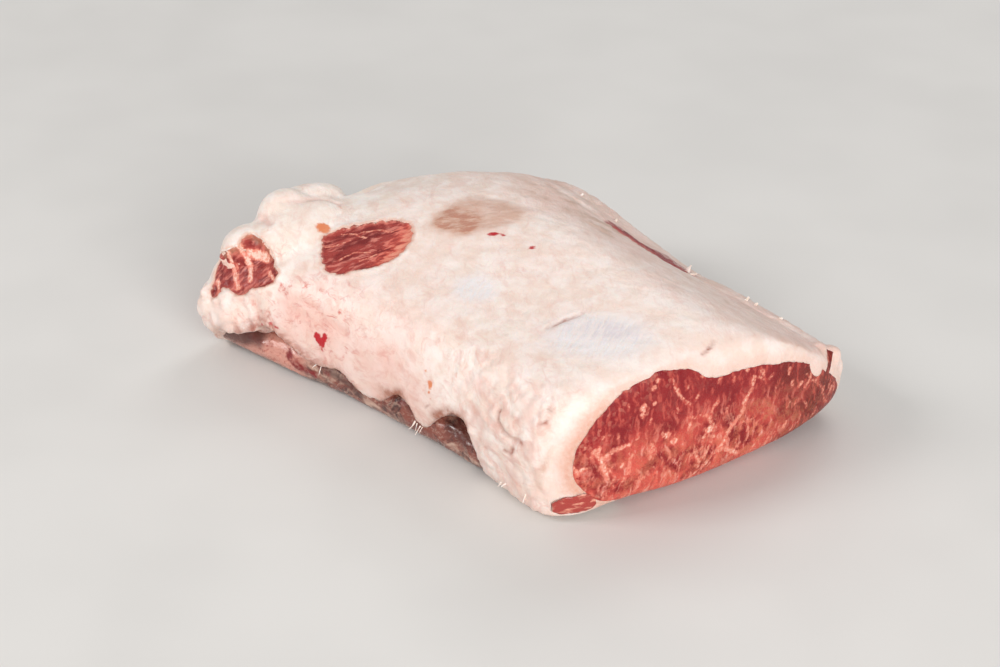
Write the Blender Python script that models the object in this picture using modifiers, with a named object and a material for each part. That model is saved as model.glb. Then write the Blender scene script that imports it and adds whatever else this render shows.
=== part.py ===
"""A boneless pork loin roast with its fat cap, as three solids that fit into each other.

Metres, +Z up. The roast lies on its bone side with its length along X: +X is the fresh
cut face, -Y the thick rounded side with the scallops that the ribs left, and +Y the far
side, where the cap thins out. The origin is the bottom centre of the bounding box.

  fat_cap      the layer of fat over the top and both sides, with the fold and the lobes
               at the -X end
  loin_eye     the lean muscle, which shows at both ends, in the windows that the knife
               left in the cap, and underneath
  side_muscle  the strip of rib meat along the foot of the -Y side

Every soft form starts as a cube that is subdivided into a coarse cage. The cage is drawn
over the form by curves along the length, and Subdivision Surface rounds it. Booleans then
seat the forms in each other.
"""

import math
from typing import NamedTuple

import bmesh
import bpy
import numpy as np
from mathutils import Matrix

# The two ends of the cage along X. The end faces bulge past them.
LEFT_X = -0.102
CUT_X = 0.100

# The outer form. Each curve runs along the length, from 0 at the -X end to 1 at the cut.
CAP_NEAR_Y = ((0, -0.084), (0.15, -0.079), (0.35, -0.067), (0.55, -0.062), (1, -0.063))
CAP_FAR_Y = ((0, 0.071), (0.3, 0.083), (0.7, 0.087), (1, 0.086))
CAP_TOP_NEAR = ((0, 0.050), (0.2, 0.054), (0.5, 0.056), (0.8, 0.058), (1, 0.058))
CAP_TOP_MID = ((0, 0.048), (0.2, 0.063), (0.45, 0.066), (0.7, 0.062), (0.9, 0.060), (1, 0.059))
CAP_TOP_FAR = ((0, 0.042), (0.2, 0.064), (0.38, 0.058), (0.5, 0.0475), (0.62, 0.041), (0.8, 0.040),
               (1, 0.036))
CAP_ROUND_NEAR_TOP = ((0, 0.95), (0.25, 0.8), (0.7, 0.68), (1, 0.60))
CAP_ROUND_FAR_TOP = 1.0
CAP_ROUND_NEAR_FOOT = 0.16
CAP_ROUND_FAR_FOOT = 0.45
CAP_FLOOR = -0.0006
CAP_FOOT = 0.0014

# How far the end faces stand along X, from the near side (0) to the far side (1).
CUT_FACE_X = ((0, 0.087), (0.12, 0.096), (0.3, 0.101), (0.6, 0.105), (0.9, 0.106), (1, 0.102))
LEFT_FACE_X = ((0, -0.104), (0.15, -0.106), (0.4, -0.105), (0.7, -0.096), (1, -0.082))
FACE_START = 0.3

# The cage's edges are broken by these radii before it is drawn over the form.
EDGE_BOX = np.array([0.100, 0.150, 0.029])
EDGE_RADIUS_TOP = 0.0045
EDGE_RADIUS_FOOT = 0.0085

# The lean eye: how far it lies in from the outer form at each side, and how deep the cap
# is over it, from the near side (0) to the far side (1).
EYE_IN_NEAR = ((0, 0.009), (0.25, 0.010), (1, 0.011))
EYE_IN_FAR = 0.0035
EYE_UNDER_CAP = ((0, 0.010), (0.2, 0.0060), (0.36, 0.0055), (0.46, 0.0128), (0.62, 0.0135),
                 (0.80, 0.0080), (1, 0.0060))
EYE_ROUND_NEAR_TOP = 0.75
EYE_ROUND_FAR_TOP = 1.0
EYE_ROUND_NEAR_FOOT = 1.00
EYE_ROUND_FAR_FOOT = 0.50
PAST_ENDS = 0.012
EYE_SETTLED = 0.0030
EYE_FOOT = 0.0010
SKIN_BELOW = 0.0031

# The flat face under the eye that the roast has settled on, as its corners seen from above,
# how far up it runs into the eye, and how much wider it is there.
REST_CORNERS = ((-0.080, -0.020), (0.084, -0.020), (0.092, 0.020), (0.078, 0.056),
                (-0.055, 0.056), (-0.086, 0.015))
REST_RISE = 0.0030
REST_FLARE = 1.03

# The strip of rib meat along the near foot.
STRIP_IN_NEAR = ((0, 0.0030), (0.35, 0.0020), (0.75, 0.0030), (1, 0.0095))
STRIP_FAR_Y = ((0, -0.058), (0.35, -0.046), (0.7, -0.043), (1, -0.0435))
STRIP_TOP = ((0, 0.016), (0.35, 0.016), (0.7, 0.015), (1, 0.0115))
STRIP_FLOOR = ((0, 0.0015), (0.7, 0.0015), (0.85, 0.0032), (1, 0.0056))
STRIP_ROUND = 0.75
SEAM_OVER_STRIP = 0.0020

# The foot of the cap on the near side, as height along X: arches where ribs were cut out.
NEAR_SKIRT = ((-0.112, 0.000), (-0.101, 0.001), (-0.095, 0.006), (-0.090, 0.012),
              (-0.080, 0.014), (-0.072, 0.018), (-0.066, 0.023), (-0.059, 0.019),
              (-0.050, 0.0135), (-0.040, 0.012), (-0.030, 0.0135), (-0.024, 0.010),
              (-0.018, 0.004), (-0.012, 0.005), (-0.004, 0.012), (0.004, 0.0165),
              (0.009, 0.013), (0.0125, 0.004), (0.016, 0.004), (0.021, 0.012),
              (0.029, 0.019), (0.037, 0.023), (0.043, 0.021), (0.047, 0.008),
              (0.052, -0.002), (0.058, -0.006), (0.120, -0.006))
NEAR_SKIRT_DEPTH = 0.0065
NEAR_SKIRT_UNDERCUT = 0.014
FAR_SKIRT = ((-0.112, 0.020), (-0.080, 0.026), (-0.050, 0.021), (-0.020, 0.027),
             (0.010, 0.019), (0.040, 0.014), (0.070, 0.018), (0.092, 0.013), (0.120, 0.015))
FAR_SKIRT_FROM_Y = 0.018

# The window in the top of the cap, an oval of lean.
TOP_WINDOW_AT = (-0.0468, -0.0398, 0.0600)
TOP_WINDOW_HALF = (0.0182, 0.0138)
TOP_WINDOW_TURN = math.radians(38)
TOP_WINDOW_DEPTH = 0.024

# The window on the near shoulder at the -X end.
SHOULDER_WINDOW_AT = (-0.0870, -0.0690, 0.0400)
SHOULDER_WINDOW_HALF = (0.0105, 0.0135)
SHOULDER_WINDOW_FACES = (-0.10, -0.60, 0.80)
SHOULDER_WINDOW_DEPTH = 0.018

# A window's sides: straight lines, how far they stand past the cap, and how they slope.
WINDOW_SIDES = 20
WINDOW_PAST = 0.005
WINDOW_FOOT_SCALE = 1.18
WINDOW_TOP_SCALE = 0.97

# The seam of lean along the far shoulder, as points that its middle passes through.
FAR_SEAM = ((-0.016, 0.0518, 0.056), (-0.004, 0.0535, 0.053), (0.004, 0.056, 0.050),
            (0.012, 0.060, 0.046), (0.025, 0.067, 0.040), (0.048, 0.073, 0.035),
            (0.085, 0.077, 0.030), (0.118, 0.075, 0.027))
FAR_SEAM_WIDTH = ((0, 0.0012), (0.2, 0.0060), (0.45, 0.0085), (0.7, 0.0070), (1, 0.0060))
FAR_SEAM_UP = (0.0, 0.62, 0.78)
FAR_SEAM_DEPTH = 0.014
FAR_SEAM_PAST = 0.006
FAR_SEAM_LOOPS = 22

# The fold of fat and the lobes at the -X end: middle, half sizes, turn about Z and X.
LOBES = {
    "fold": ((-0.0960, -0.0290, 0.0495), (0.0095, 0.0220, 0.0100), 0, -14),
    "fold_root": ((-0.0930, -0.0460, 0.0500), (0.0125, 0.0140, 0.0138), 0, 0),
    "shoulder_lobe": ((-0.0940, -0.0630, 0.0410), (0.0115, 0.0125, 0.0115), 0, 0),
    "near_lobe": ((-0.0880, -0.0760, 0.0205), (0.0140, 0.0095, 0.0115), 6, 0),
    "end_lobe": ((-0.0975, -0.0775, 0.0192), (0.0080, 0.0090, 0.0125), 0, 0),
    "drip": ((-0.0965, -0.0768, 0.0080), (0.0040, 0.0045, 0.0060), 0, 0),
}

# Loops across the cages of the three soft forms, along, across and up.
CAP_LOOPS = (12, 10, 4)
EYE_LOOPS = (12, 9, 3)
STRIP_LOOPS = (12, 2, 1)
SKIRT_LOOPS = {"near_skirt": 40, "far_skirt": 24}
LOBE_SEGMENTS = (14, 9)

# Lean ends this far proud of the fat round it, and this gap lies between two parts.
PROUD = 0.0004
GAP = 0.0003
SKIRT_OUT = 0.048
SKIRT_DOWN = 0.012

# The cap is cut many times, which only this solver takes.
CAP_SOLVER = "MANIFOLD"

FAT_COLOUR = (0.83, 0.68, 0.59, 1)
LEAN_COLOUR = (0.42, 0.055, 0.045, 1)
RIB_MEAT_COLOUR = (0.36, 0.11, 0.08, 1)
FAT_ROUGHNESS = 0.42
LEAN_ROUGHNESS = 0.35
RIB_MEAT_ROUGHNESS = 0.38


class Form(NamedTuple):
    """A long soft form. Each field is a function of the share of the length."""

    near: object
    far: object
    floor: object
    foot: float
    top: object
    roundness: object


def curve(points, at):
    """A smooth curve through the points (place, value), read at the given places."""
    places, values = np.array(points, float).T
    slopes = np.gradient(values, places)
    at = np.clip(np.asarray(at, float), places[0], places[-1])
    i = np.clip(np.searchsorted(places, at) - 1, 0, len(places) - 2)
    span = places[i + 1] - places[i]
    t = (at - places[i]) / span
    return (
        (1 + 2 * t) * (1 - t) ** 2 * values[i]
        + t * (1 - t) ** 2 * span * slopes[i]
        + t * t * (3 - 2 * t) * values[i + 1]
        + t * t * (t - 1) * span * slopes[i + 1]
    )


def ease(share):
    """0 to 1, level at both ends."""
    share = np.clip(share, 0, 1)
    return share * share * (3 - 2 * share)


def cap_top(s, across):
    """The height of the outer form, from the near side (0) to the far side (1)."""
    middle = curve(CAP_TOP_MID, s)
    to_near = ease(1 - 2 * across) * (curve(CAP_TOP_NEAR, s) - middle)
    to_far = ease(2 * across - 1) * (curve(CAP_TOP_FAR, s) - middle)
    return middle + to_near + to_far


def eye_top(s, across):
    return cap_top(s, across) - curve(EYE_UNDER_CAP, across)


def corner_mix(near_foot, far_foot, near_top, far_top):
    """Roundness that runs smoothly between the four long edges of a form."""

    def at(s, far, top):
        foot = near_foot * (1 - far) + far_foot * far
        head = near_top(s) * (1 - far) + far_top * far
        return foot * (1 - top) + head * top

    return at


CAP = Form(
    near=lambda s: curve(CAP_NEAR_Y, s),
    far=lambda s: curve(CAP_FAR_Y, s),
    floor=lambda s: CAP_FLOOR,
    foot=CAP_FOOT,
    top=cap_top,
    roundness=corner_mix(
        CAP_ROUND_NEAR_FOOT,
        CAP_ROUND_FAR_FOOT,
        lambda s: curve(CAP_ROUND_NEAR_TOP, s),
        CAP_ROUND_FAR_TOP,
    ),
)
SKIN = CAP._replace(floor=lambda s: -SKIN_BELOW, foot=-SKIN_BELOW)
EYE = Form(
    near=lambda s: CAP.near(s) + curve(EYE_IN_NEAR, s),
    far=lambda s: CAP.far(s) - EYE_IN_FAR,
    floor=lambda s: -EYE_SETTLED,
    foot=EYE_FOOT,
    top=eye_top,
    roundness=corner_mix(
        EYE_ROUND_NEAR_FOOT,
        EYE_ROUND_FAR_FOOT,
        lambda s: EYE_ROUND_NEAR_TOP,
        EYE_ROUND_FAR_TOP,
    ),
)
STRIP = Form(
    near=lambda s: CAP.near(s) + curve(STRIP_IN_NEAR, s),
    far=lambda s: curve(STRIP_FAR_Y, s),
    floor=lambda s: curve(STRIP_FLOOR, s),
    foot=0.0,
    top=lambda s, across: curve(STRIP_TOP, s),
    roundness=corner_mix(STRIP_ROUND, STRIP_ROUND, lambda s: STRIP_ROUND, STRIP_ROUND),
)


def rounded_box(p, radius):
    """Points of the unit cube moved onto a box of EDGE_BOX with its edges rounded."""
    q = p * EDGE_BOX
    inner = np.clip(q, radius - EDGE_BOX, EDGE_BOX - radius)
    out = q - inner
    length = np.linalg.norm(out, axis=1, keepdims=True)
    return (inner + out / np.maximum(length, 1e-12) * radius * (length > 1e-12)) / EDGE_BOX


def end_bulge(share, across, face_x, end_x):
    """How far a point is moved along X so that the form ends on the curved end face."""
    return (curve(face_x, across) - end_x) * ease((share - FACE_START) / (1 - FACE_START))


def drawn_over(form, p, past_ends=0.0):
    """Points of the unit cube (along, across, up) drawn over the form.

    The form's two ends stand past_ends outside the end faces.
    """
    head = (p[:, 2:] + 1) / 2
    p = rounded_box(p, EDGE_RADIUS_TOP) * head + rounded_box(p, EDGE_RADIUS_FOOT) * (1 - head)
    u, v, w = p.T
    s = (u + 1) / 2
    rho = form.roundness(s, (v + 1) / 2, (w + 1) / 2) / 2
    across = (v * np.sqrt(1 - rho * w * w) + 1) / 2
    up = (w * np.sqrt(1 - rho * v * v) + 1) / 2
    y = form.near(s) + (form.far(s) - form.near(s)) * across
    z = np.maximum(form.floor(s) + (form.top(s, across) - form.floor(s)) * up, form.foot)
    face = (v + 1) / 2
    at_cut = end_bulge(u, face, CUT_FACE_X, CUT_X - past_ends)
    at_left = end_bulge(-u, face, LEFT_FACE_X, LEFT_X + past_ends)
    x = LEFT_X + (CUT_X - LEFT_X) * s + at_cut + at_left
    return np.stack([x, y, z], 1)


def subdivide_along(bm, axis, loops):
    """Cuts the given number of loops across one axis."""
    along = [e for e in bm.edges if abs(e.verts[0].co[axis] - e.verts[1].co[axis]) > 1e-6]
    bmesh.ops.subdivide_edges(bm, edges=along, cuts=loops, use_grid_fill=True)


def unit_cage(loops):
    """A cube of side 2 with the given loops across each axis, gathered at the ends."""
    bm = bmesh.new()
    bmesh.ops.create_cube(bm, size=2)
    for axis, count in enumerate(loops):
        subdivide_along(bm, axis, count)
    for vert in bm.verts:
        for axis in range(3):
            c = vert.co[axis]
            vert.co[axis] = 0.5 * c + 0.5 * math.sin(c * math.pi / 2)
    return bm


def reshape(bm, function):
    """Moves every vertex of the bmesh by a function of their coordinates."""
    moved = function(np.array([v.co for v in bm.verts]))
    for vert, place in zip(bm.verts, moved):
        vert.co = place


def material(name, colour, roughness):
    mat = bpy.data.materials.new(name)
    mat.use_nodes = True
    shader = mat.node_tree.nodes["Principled BSDF"]
    shader.inputs["Base Color"].default_value = colour
    shader.inputs["Roughness"].default_value = roughness
    shader.inputs["Metallic"].default_value = 0
    mat.diffuse_color = colour
    return mat


def add(name, bm, collection, levels=1, mat=None):
    """An object of the bmesh, smoothed by Subdivision Surface."""
    mesh = bpy.data.meshes.new(name)
    bmesh.ops.recalc_face_normals(bm, faces=bm.faces)
    bm.to_mesh(mesh)
    bm.free()
    mesh.shade_smooth()
    obj = bpy.data.objects.new(name, mesh)
    collection.objects.link(obj)
    if mat:
        mesh.materials.append(mat)
    if levels:
        smooth = obj.modifiers.new("smooth", "SUBSURF")
        smooth.levels = levels
        smooth.render_levels = levels
    return obj


def as_cutter(obj):
    obj.hide_render = True
    obj.display_type = "WIRE"
    return obj


def swell(obj, by):
    """Makes the object larger by the given distance all over."""
    displace = obj.modifiers.new("swell", "DISPLACE")
    displace.strength = by
    displace.mid_level = 0


def grown(obj, by, collection):
    """A copy of the object, larger by the given distance all over, as a cutter."""
    copy = obj.copy()
    copy.name = obj.name + "_grown"
    collection.objects.link(copy)
    swell(copy, by)
    return as_cutter(copy)


def boolean(obj, operation, other, solver="EXACT"):
    cut = obj.modifiers.new(operation.lower(), "BOOLEAN")
    cut.operation = operation
    cut.object = other
    cut.solver = solver


def join_all(obj, collection, solver="EXACT"):
    """Fuses the objects of a collection to this one."""
    cut = obj.modifiers.new("join", "BOOLEAN")
    cut.operation = "UNION"
    cut.operand_type = "COLLECTION"
    cut.collection = collection
    cut.solver = solver


def form_object(name, form, loops, collection, past_ends=0.0, mat=None):
    bm = unit_cage(loops)
    reshape(bm, lambda p: drawn_over(form, p, past_ends))
    return add(name, bm, collection, mat=mat)


def lobe(name, collection):
    """A squashed ball of fat."""
    middle, half, turn_z, turn_x = LOBES[name]
    bm = bmesh.new()
    segments, rings = LOBE_SEGMENTS
    bmesh.ops.create_uvsphere(bm, u_segments=segments, v_segments=rings, radius=1)
    place = (
        Matrix.Translation(middle)
        @ Matrix.Rotation(math.radians(turn_z), 4, "Z")
        @ Matrix.Rotation(math.radians(turn_x), 4, "X")
        @ Matrix.Diagonal((*half, 1))
    )
    bmesh.ops.transform(bm, matrix=place, verts=bm.verts)
    return as_cutter(add(name, bm, collection, levels=0))


def skirt_cutter(name, collection, foot, inner_y, outward, undercut):
    """What is cut away below a foot line, from inner_y(x) out past the side.

    The cut's lower edge lies undercut further in than its upper edge.
    """
    bm = bmesh.new()
    bmesh.ops.create_cube(bm, size=2)
    subdivide_along(bm, 0, SKIRT_LOOPS[name])
    first, last = foot[0][0], foot[-1][0]

    def place(p):
        x = first + (last - first) * (p[:, 0] + 1) / 2
        out = (p[:, 1] * outward + 1) / 2
        under = np.where(p[:, 2] > 0, 0, undercut)
        y = inner_y(x) + outward * (out * SKIRT_OUT - (1 - out) * under)
        z = np.where(p[:, 2] > 0, curve(foot, x), -SKIRT_DOWN)
        return np.stack([x, y, z], 1)

    reshape(bm, place)
    return as_cutter(add(name, bm, collection, levels=0))


def near_side(x):
    return curve(CAP_NEAR_Y, (x - LEFT_X) / (CUT_X - LEFT_X)) + NEAR_SKIRT_DEPTH


def far_side(x):
    return np.full_like(x, FAR_SKIRT_FROM_Y)


def facing(direction):
    """A turn that takes +Z to the direction and keeps +X level."""
    z = np.array(direction, float) / np.linalg.norm(direction)
    x = np.cross((0, 1, 0), z)
    x /= np.linalg.norm(x)
    return Matrix(np.stack([x, np.cross(z, x), z], 1)).to_4x4()


def window_boss(name, collection, at, half, turn, outward, depth):
    """An oval plug of lean, from depth below the middle of the window out past it."""
    bm = bmesh.new()
    bmesh.ops.create_cone(
        bm,
        cap_ends=True,
        segments=WINDOW_SIDES,
        radius1=WINDOW_FOOT_SCALE,
        radius2=WINDOW_TOP_SCALE,
        depth=2,
    )
    place = (
        Matrix.Translation(at)
        @ facing(outward)
        @ Matrix.Rotation(turn, 4, "Z")
        @ Matrix.Translation((0, 0, (WINDOW_PAST - depth) / 2))
        @ Matrix.Diagonal((*half, (WINDOW_PAST + depth) / 2, 1))
    )
    bmesh.ops.transform(bm, matrix=place, verts=bm.verts)
    return as_cutter(add(name, bm, collection, levels=0))


def seam_boss(name, collection):
    """The ribbon of lean that stands up through the cap along the far shoulder."""
    bm = bmesh.new()
    bmesh.ops.create_cube(bm, size=2)
    subdivide_along(bm, 0, FAR_SEAM_LOOPS)
    path = np.array(FAR_SEAM)
    share = np.linspace(0, 1, len(path))
    up = np.array(FAR_SEAM_UP)

    def middle(t):
        return np.stack([curve(list(zip(share, path[:, k])), t) for k in range(3)], 1)

    def place(p):
        t = (p[:, 0] + 1) / 2
        tangent = middle(np.clip(t + 0.02, 0, 1)) - middle(np.clip(t - 0.02, 0, 1))
        side = np.cross(up, tangent)
        side /= np.linalg.norm(side, axis=1, keepdims=True)
        width = curve(FAR_SEAM_WIDTH, t) / 2
        height = np.where(p[:, 2] > 0, FAR_SEAM_PAST, -FAR_SEAM_DEPTH)
        return middle(t) + side * (p[:, 1] * width)[:, None] + up * height[:, None]

    reshape(bm, place)
    return as_cutter(add(name, bm, collection, levels=0))


def rest_face(name, collection):
    """The low pad whose underside is the face that the roast rests on."""
    bm = bmesh.new()
    foot = [bm.verts.new((x, y, 0)) for x, y in REST_CORNERS]
    head = [bm.verts.new((x * REST_FLARE, y * REST_FLARE, REST_RISE)) for x, y in REST_CORNERS]
    bm.faces.new(foot)
    bm.faces.new(head)
    for i in range(len(foot)):
        bm.faces.new((foot[i - 1], foot[i], head[i], head[i - 1]))
    return as_cutter(add(name, bm, collection, levels=0))


def new_collection(name):
    collection = bpy.data.collections.new(name)
    bpy.context.scene.collection.children.link(collection)
    return collection


def model_bosses(collection):
    """What stands out from the eye: two windows, a seam and the face it rests on."""
    window_boss(
        "top_window",
        collection,
        TOP_WINDOW_AT,
        TOP_WINDOW_HALF,
        TOP_WINDOW_TURN,
        (0, 0, 1),
        TOP_WINDOW_DEPTH,
    )
    window_boss(
        "shoulder_window",
        collection,
        SHOULDER_WINDOW_AT,
        SHOULDER_WINDOW_HALF,
        0,
        SHOULDER_WINDOW_FACES,
        SHOULDER_WINDOW_DEPTH,
    )
    seam_boss("far_seam", collection)
    rest_face("rest", collection)


def main():
    for obj in list(bpy.data.objects):
        bpy.data.objects.remove(obj, do_unlink=True)
    parts = new_collection("pork_loin")
    cutters = new_collection("cutters")
    lobes = new_collection("lobes")
    bosses = new_collection("bosses")

    fat = material("fat", FAT_COLOUR, FAT_ROUGHNESS)
    lean = material("lean", LEAN_COLOUR, LEAN_ROUGHNESS)
    rib_meat = material("rib_meat", RIB_MEAT_COLOUR, RIB_MEAT_ROUGHNESS)

    for name in LOBES:
        lobe(name, lobes)
    model_bosses(bosses)
    skin = as_cutter(form_object("skin", SKIN, CAP_LOOPS, cutters))
    swell(skin, PROUD)

    eye = form_object("loin_eye", EYE, EYE_LOOPS, parts, PAST_ENDS, lean)
    eye_void = grown(eye, GAP, cutters)
    join_all(eye, bosses)
    boolean(eye, "INTERSECT", skin)

    strip = form_object("side_muscle", STRIP, STRIP_LOOPS, parts, PAST_ENDS, rib_meat)
    strip_void = grown(strip, GAP, cutters)
    eye_clearance = grown(eye_void, SEAM_OVER_STRIP, cutters)
    boolean(strip, "INTERSECT", skin)
    boolean(strip, "DIFFERENCE", eye_clearance)

    cap = form_object("fat_cap", CAP, CAP_LOOPS, parts, mat=fat)
    join_all(cap, lobes, CAP_SOLVER)
    near = skirt_cutter("near_skirt", cutters, NEAR_SKIRT, near_side, -1, NEAR_SKIRT_UNDERCUT)
    far = skirt_cutter("far_skirt", cutters, FAR_SKIRT, far_side, 1, 0)
    boss_voids = [grown(boss, GAP, cutters) for boss in bosses.objects]
    for void in (eye_void, *boss_voids, strip_void, near, far):
        boolean(cap, "DIFFERENCE", void, CAP_SOLVER)


main()
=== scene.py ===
"""A raw boneless pork loin roast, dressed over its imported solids.

The roast lies on its bone side along X. Its fresh cut face looks towards +X, the thick
side with the scallops that the ribs left faces -Y, and the far side, where the fat thins
out, faces +Y. One outer skin is modelled, sculpted and then parted by the volume of the
lean, so that fat and lean end flush with each other at the cut, as on the real joint.

Forms are in metres. Relief and the places of marks on the surface are in millimetres.
"""

import logging
import math
from dataclasses import dataclass, replace
from enum import Enum
from functools import partial, reduce
from itertools import product
from typing import Iterable, Sequence

import bpy
import numpy as np
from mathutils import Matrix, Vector
from mathutils.bvhtree import BVHTree


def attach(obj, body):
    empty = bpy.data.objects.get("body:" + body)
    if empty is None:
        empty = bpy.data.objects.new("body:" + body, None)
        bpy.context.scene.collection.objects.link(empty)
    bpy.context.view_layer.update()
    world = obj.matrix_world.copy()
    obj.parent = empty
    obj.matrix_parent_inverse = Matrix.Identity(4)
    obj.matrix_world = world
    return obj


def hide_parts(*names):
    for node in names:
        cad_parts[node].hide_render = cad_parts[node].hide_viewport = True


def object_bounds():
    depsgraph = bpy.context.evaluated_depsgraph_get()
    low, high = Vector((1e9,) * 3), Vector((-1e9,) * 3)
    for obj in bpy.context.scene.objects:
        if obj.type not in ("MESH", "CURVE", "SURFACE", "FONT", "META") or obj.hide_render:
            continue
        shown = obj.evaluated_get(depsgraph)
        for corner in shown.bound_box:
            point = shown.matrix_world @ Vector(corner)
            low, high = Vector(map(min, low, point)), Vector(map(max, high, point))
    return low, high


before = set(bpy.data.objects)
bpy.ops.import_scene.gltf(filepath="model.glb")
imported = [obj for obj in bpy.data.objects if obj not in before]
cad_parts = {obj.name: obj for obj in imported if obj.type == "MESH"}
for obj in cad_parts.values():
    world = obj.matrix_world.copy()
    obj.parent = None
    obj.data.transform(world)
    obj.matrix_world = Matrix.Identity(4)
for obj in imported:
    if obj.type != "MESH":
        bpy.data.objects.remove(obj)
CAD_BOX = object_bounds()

logging.basicConfig(level=logging.INFO, format="%(message)s")
LOG = logging.getLogger("pork_loin")

MM = 0.001
Pair = tuple[float, float]
Point = tuple[float, float, float]
Profile = tuple[Pair, ...]
Line = tuple[Point, ...]
Loops = tuple[int, int, int]
Tone = tuple[int, int, int]
Array = np.ndarray
Object = bpy.types.Object
Material = bpy.types.Material
Socket = bpy.types.NodeSocket


# ---- numbers


def read_profile(points: Profile, at: Array) -> Array:
    """Reads a smooth curve through points.

    Args:
        points: (place, value) pairs in rising order of place.
        at: The places to read.

    Returns:
        The value at each place.
    """
    places, values = np.array(points, float).T
    slopes = np.gradient(values, places)
    at = np.clip(np.asarray(at, float), places[0], places[-1])
    i = np.clip(np.searchsorted(places, at) - 1, 0, len(places) - 2)
    span = places[i + 1] - places[i]
    t = (at - places[i]) / span
    return (
        (1 + 2 * t) * (1 - t) ** 2 * values[i]
        + t * (1 - t) ** 2 * span * slopes[i]
        + t * t * (3 - 2 * t) * values[i + 1]
        + t * t * (t - 1) * span * slopes[i + 1]
    )


def ramp(value: Array, start: float, end: float) -> Array:
    """Rises smoothly from 0 at start to 1 at end, or falls where end is the smaller."""
    t = np.clip((value - start) / (end - start), 0, 1)
    return t * t * (3 - 2 * t)


def cos_sin(degrees: float) -> Pair:
    """The cosine and the sine of an angle."""
    return math.cos(math.radians(degrees)), math.sin(math.radians(degrees))


def in_box(p: Array) -> Array:
    """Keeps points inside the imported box, in metres."""
    return np.clip(p, *np.array(CAD_BOX))


def distance_to_line(p: Array, line: Line) -> Array:
    """Measures how far points lie from a line of straight stretches.

    Args:
        p: Points, one a row.
        line: The line's points. A single point is a dot.

    Returns:
        The distance of each point.
    """
    nodes = np.array(line, float)
    best = np.linalg.norm(p - nodes[0], axis=1)
    for a, b in zip(nodes[:-1], nodes[1:]):
        along = b - a
        t = np.clip(((p - a) @ along) / max(along @ along, 1e-9), 0, 1)
        best = np.minimum(best, np.linalg.norm(p - a - t[:, None] * along, axis=1))
    return best


class Grain:
    """Smooth repeatable noise in space."""

    def __init__(self, seed: int) -> None:
        """Draws the directions of the noise.

        Args:
            seed: A different number gives a different noise.
        """
        rng = np.random.default_rng(seed)
        self.order = rng.permutation(256)
        slopes = rng.normal(size=(256, 3))
        self.slopes = slopes / np.linalg.norm(slopes, axis=1, keepdims=True)

    def at(self, p: Array) -> Array:
        """Reads the noise.

        Args:
            p: Points, in cells of the noise.

        Returns:
            About -1 to 1 at each point.
        """
        cell = np.floor(p).astype(int)
        f = p - cell
        u = f * f * f * (f * (f * 6 - 15) + 10)
        total = np.zeros(len(p))
        for corner in product((0, 1), repeat=3):
            c = (cell + corner) & 255
            key = self.order[(self.order[(self.order[c[:, 0]] + c[:, 1]) & 255] + c[:, 2]) & 255]
            slope = (self.slopes[key] * (f - corner)).sum(1)
            total += np.prod(np.where(corner, u, 1 - u), axis=1) * slope
        return total * 1.6

    def octaves(self, p: Array, count: int, gain: float = 0.5) -> Array:
        """Adds finer and finer layers of the noise.

        Args:
            p: Points, in cells of the coarsest layer.
            count: The number of layers.
            gain: How much weaker each layer is than the one before.

        Returns:
            About -1 to 1 at each point.
        """
        total, weight, size = np.zeros(len(p)), 0.0, 1.0
        for layer in range(count):
            total += size * self.at(p * 2**layer + 17.3 * layer)
            weight += size
            size *= gain
        return total / weight

    def billow(self, p: Array) -> Array:
        """Puffs with sharp creases between them: 0 in a crease, about 1 on a puff."""
        return np.clip(np.abs(self.at(p)) * 1.9, 0, 1.2)

    def warp(self, p: Array, cell: float, by: float) -> Array:
        """Pushes points about, so that straight marks wander.

        Args:
            p: Points.
            cell: The size of a swing.
            by: How far points are pushed.

        Returns:
            The moved points.
        """
        q = p / cell
        push = np.stack([self.at(q + shift) for shift in (0.0, 31.7, 67.1)], 1)
        return p + by * push


COARSE = Grain(3)
MIDDLE = Grain(11)
FINE = Grain(29)


# ---- forms of the meat


@dataclass(frozen=True)
class Ends:
    """The two end faces: their mean places along X, and how each stands from side to side."""

    left_x: float = -0.102
    cut_x: float = 0.100
    cut_face: Profile = ((0, 0.087), (0.12, 0.096), (0.3, 0.101), (0.6, 0.105), (0.9, 0.106), (1, 0.102))
    left_face: Profile = ((0, -0.104), (0.15, -0.106), (0.4, -0.105), (0.7, -0.096), (1, -0.082))
    start: float = 0.3

    def along(self, u: Array, v: Array, past: float) -> Array:
        """Places points along X.

        Args:
            u: From -1 at the -X end to 1 at the cut.
            v: From -1 at the near side to 1 at the far side.
            past: How far the form runs out past both end faces.

        Returns:
            X in metres.
        """
        share, across = (u + 1) / 2, (v + 1) / 2
        x = self.left_x + (self.cut_x - self.left_x) * share
        x = x + (read_profile(self.cut_face, across) - self.cut_x + past) * ramp(u, self.start, 1)
        return x + (read_profile(self.left_face, across) - self.left_x - past) * ramp(-u, self.start, 1)


ENDS = Ends()


@dataclass(frozen=True)
class Crown:
    """The height of the roast along its near, middle and far lines."""

    near: Profile = ((0, 0.050), (0.2, 0.054), (0.5, 0.056), (0.8, 0.058), (1, 0.058))
    middle: Profile = ((0, 0.048), (0.2, 0.063), (0.45, 0.066), (0.7, 0.062), (0.9, 0.060), (1, 0.059))
    far: Profile = (
        (0, 0.042), (0.2, 0.064), (0.38, 0.058), (0.5, 0.0475), (0.62, 0.041), (0.8, 0.040), (1, 0.036),
    )

    def height(self, share: Array, across: Array) -> Array:
        """Reads the height.

        Args:
            share: Share of the length, 0 at the -X end.
            across: From 0 at the near side to 1 at the far side.

        Returns:
            Z in metres.
        """
        middle = read_profile(self.middle, share)
        to_near = ramp(across, 0.5, 0) * (read_profile(self.near, share) - middle)
        to_far = ramp(across, 0.5, 1) * (read_profile(self.far, share) - middle)
        return middle + to_near + to_far


CROWN = Crown()


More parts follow.
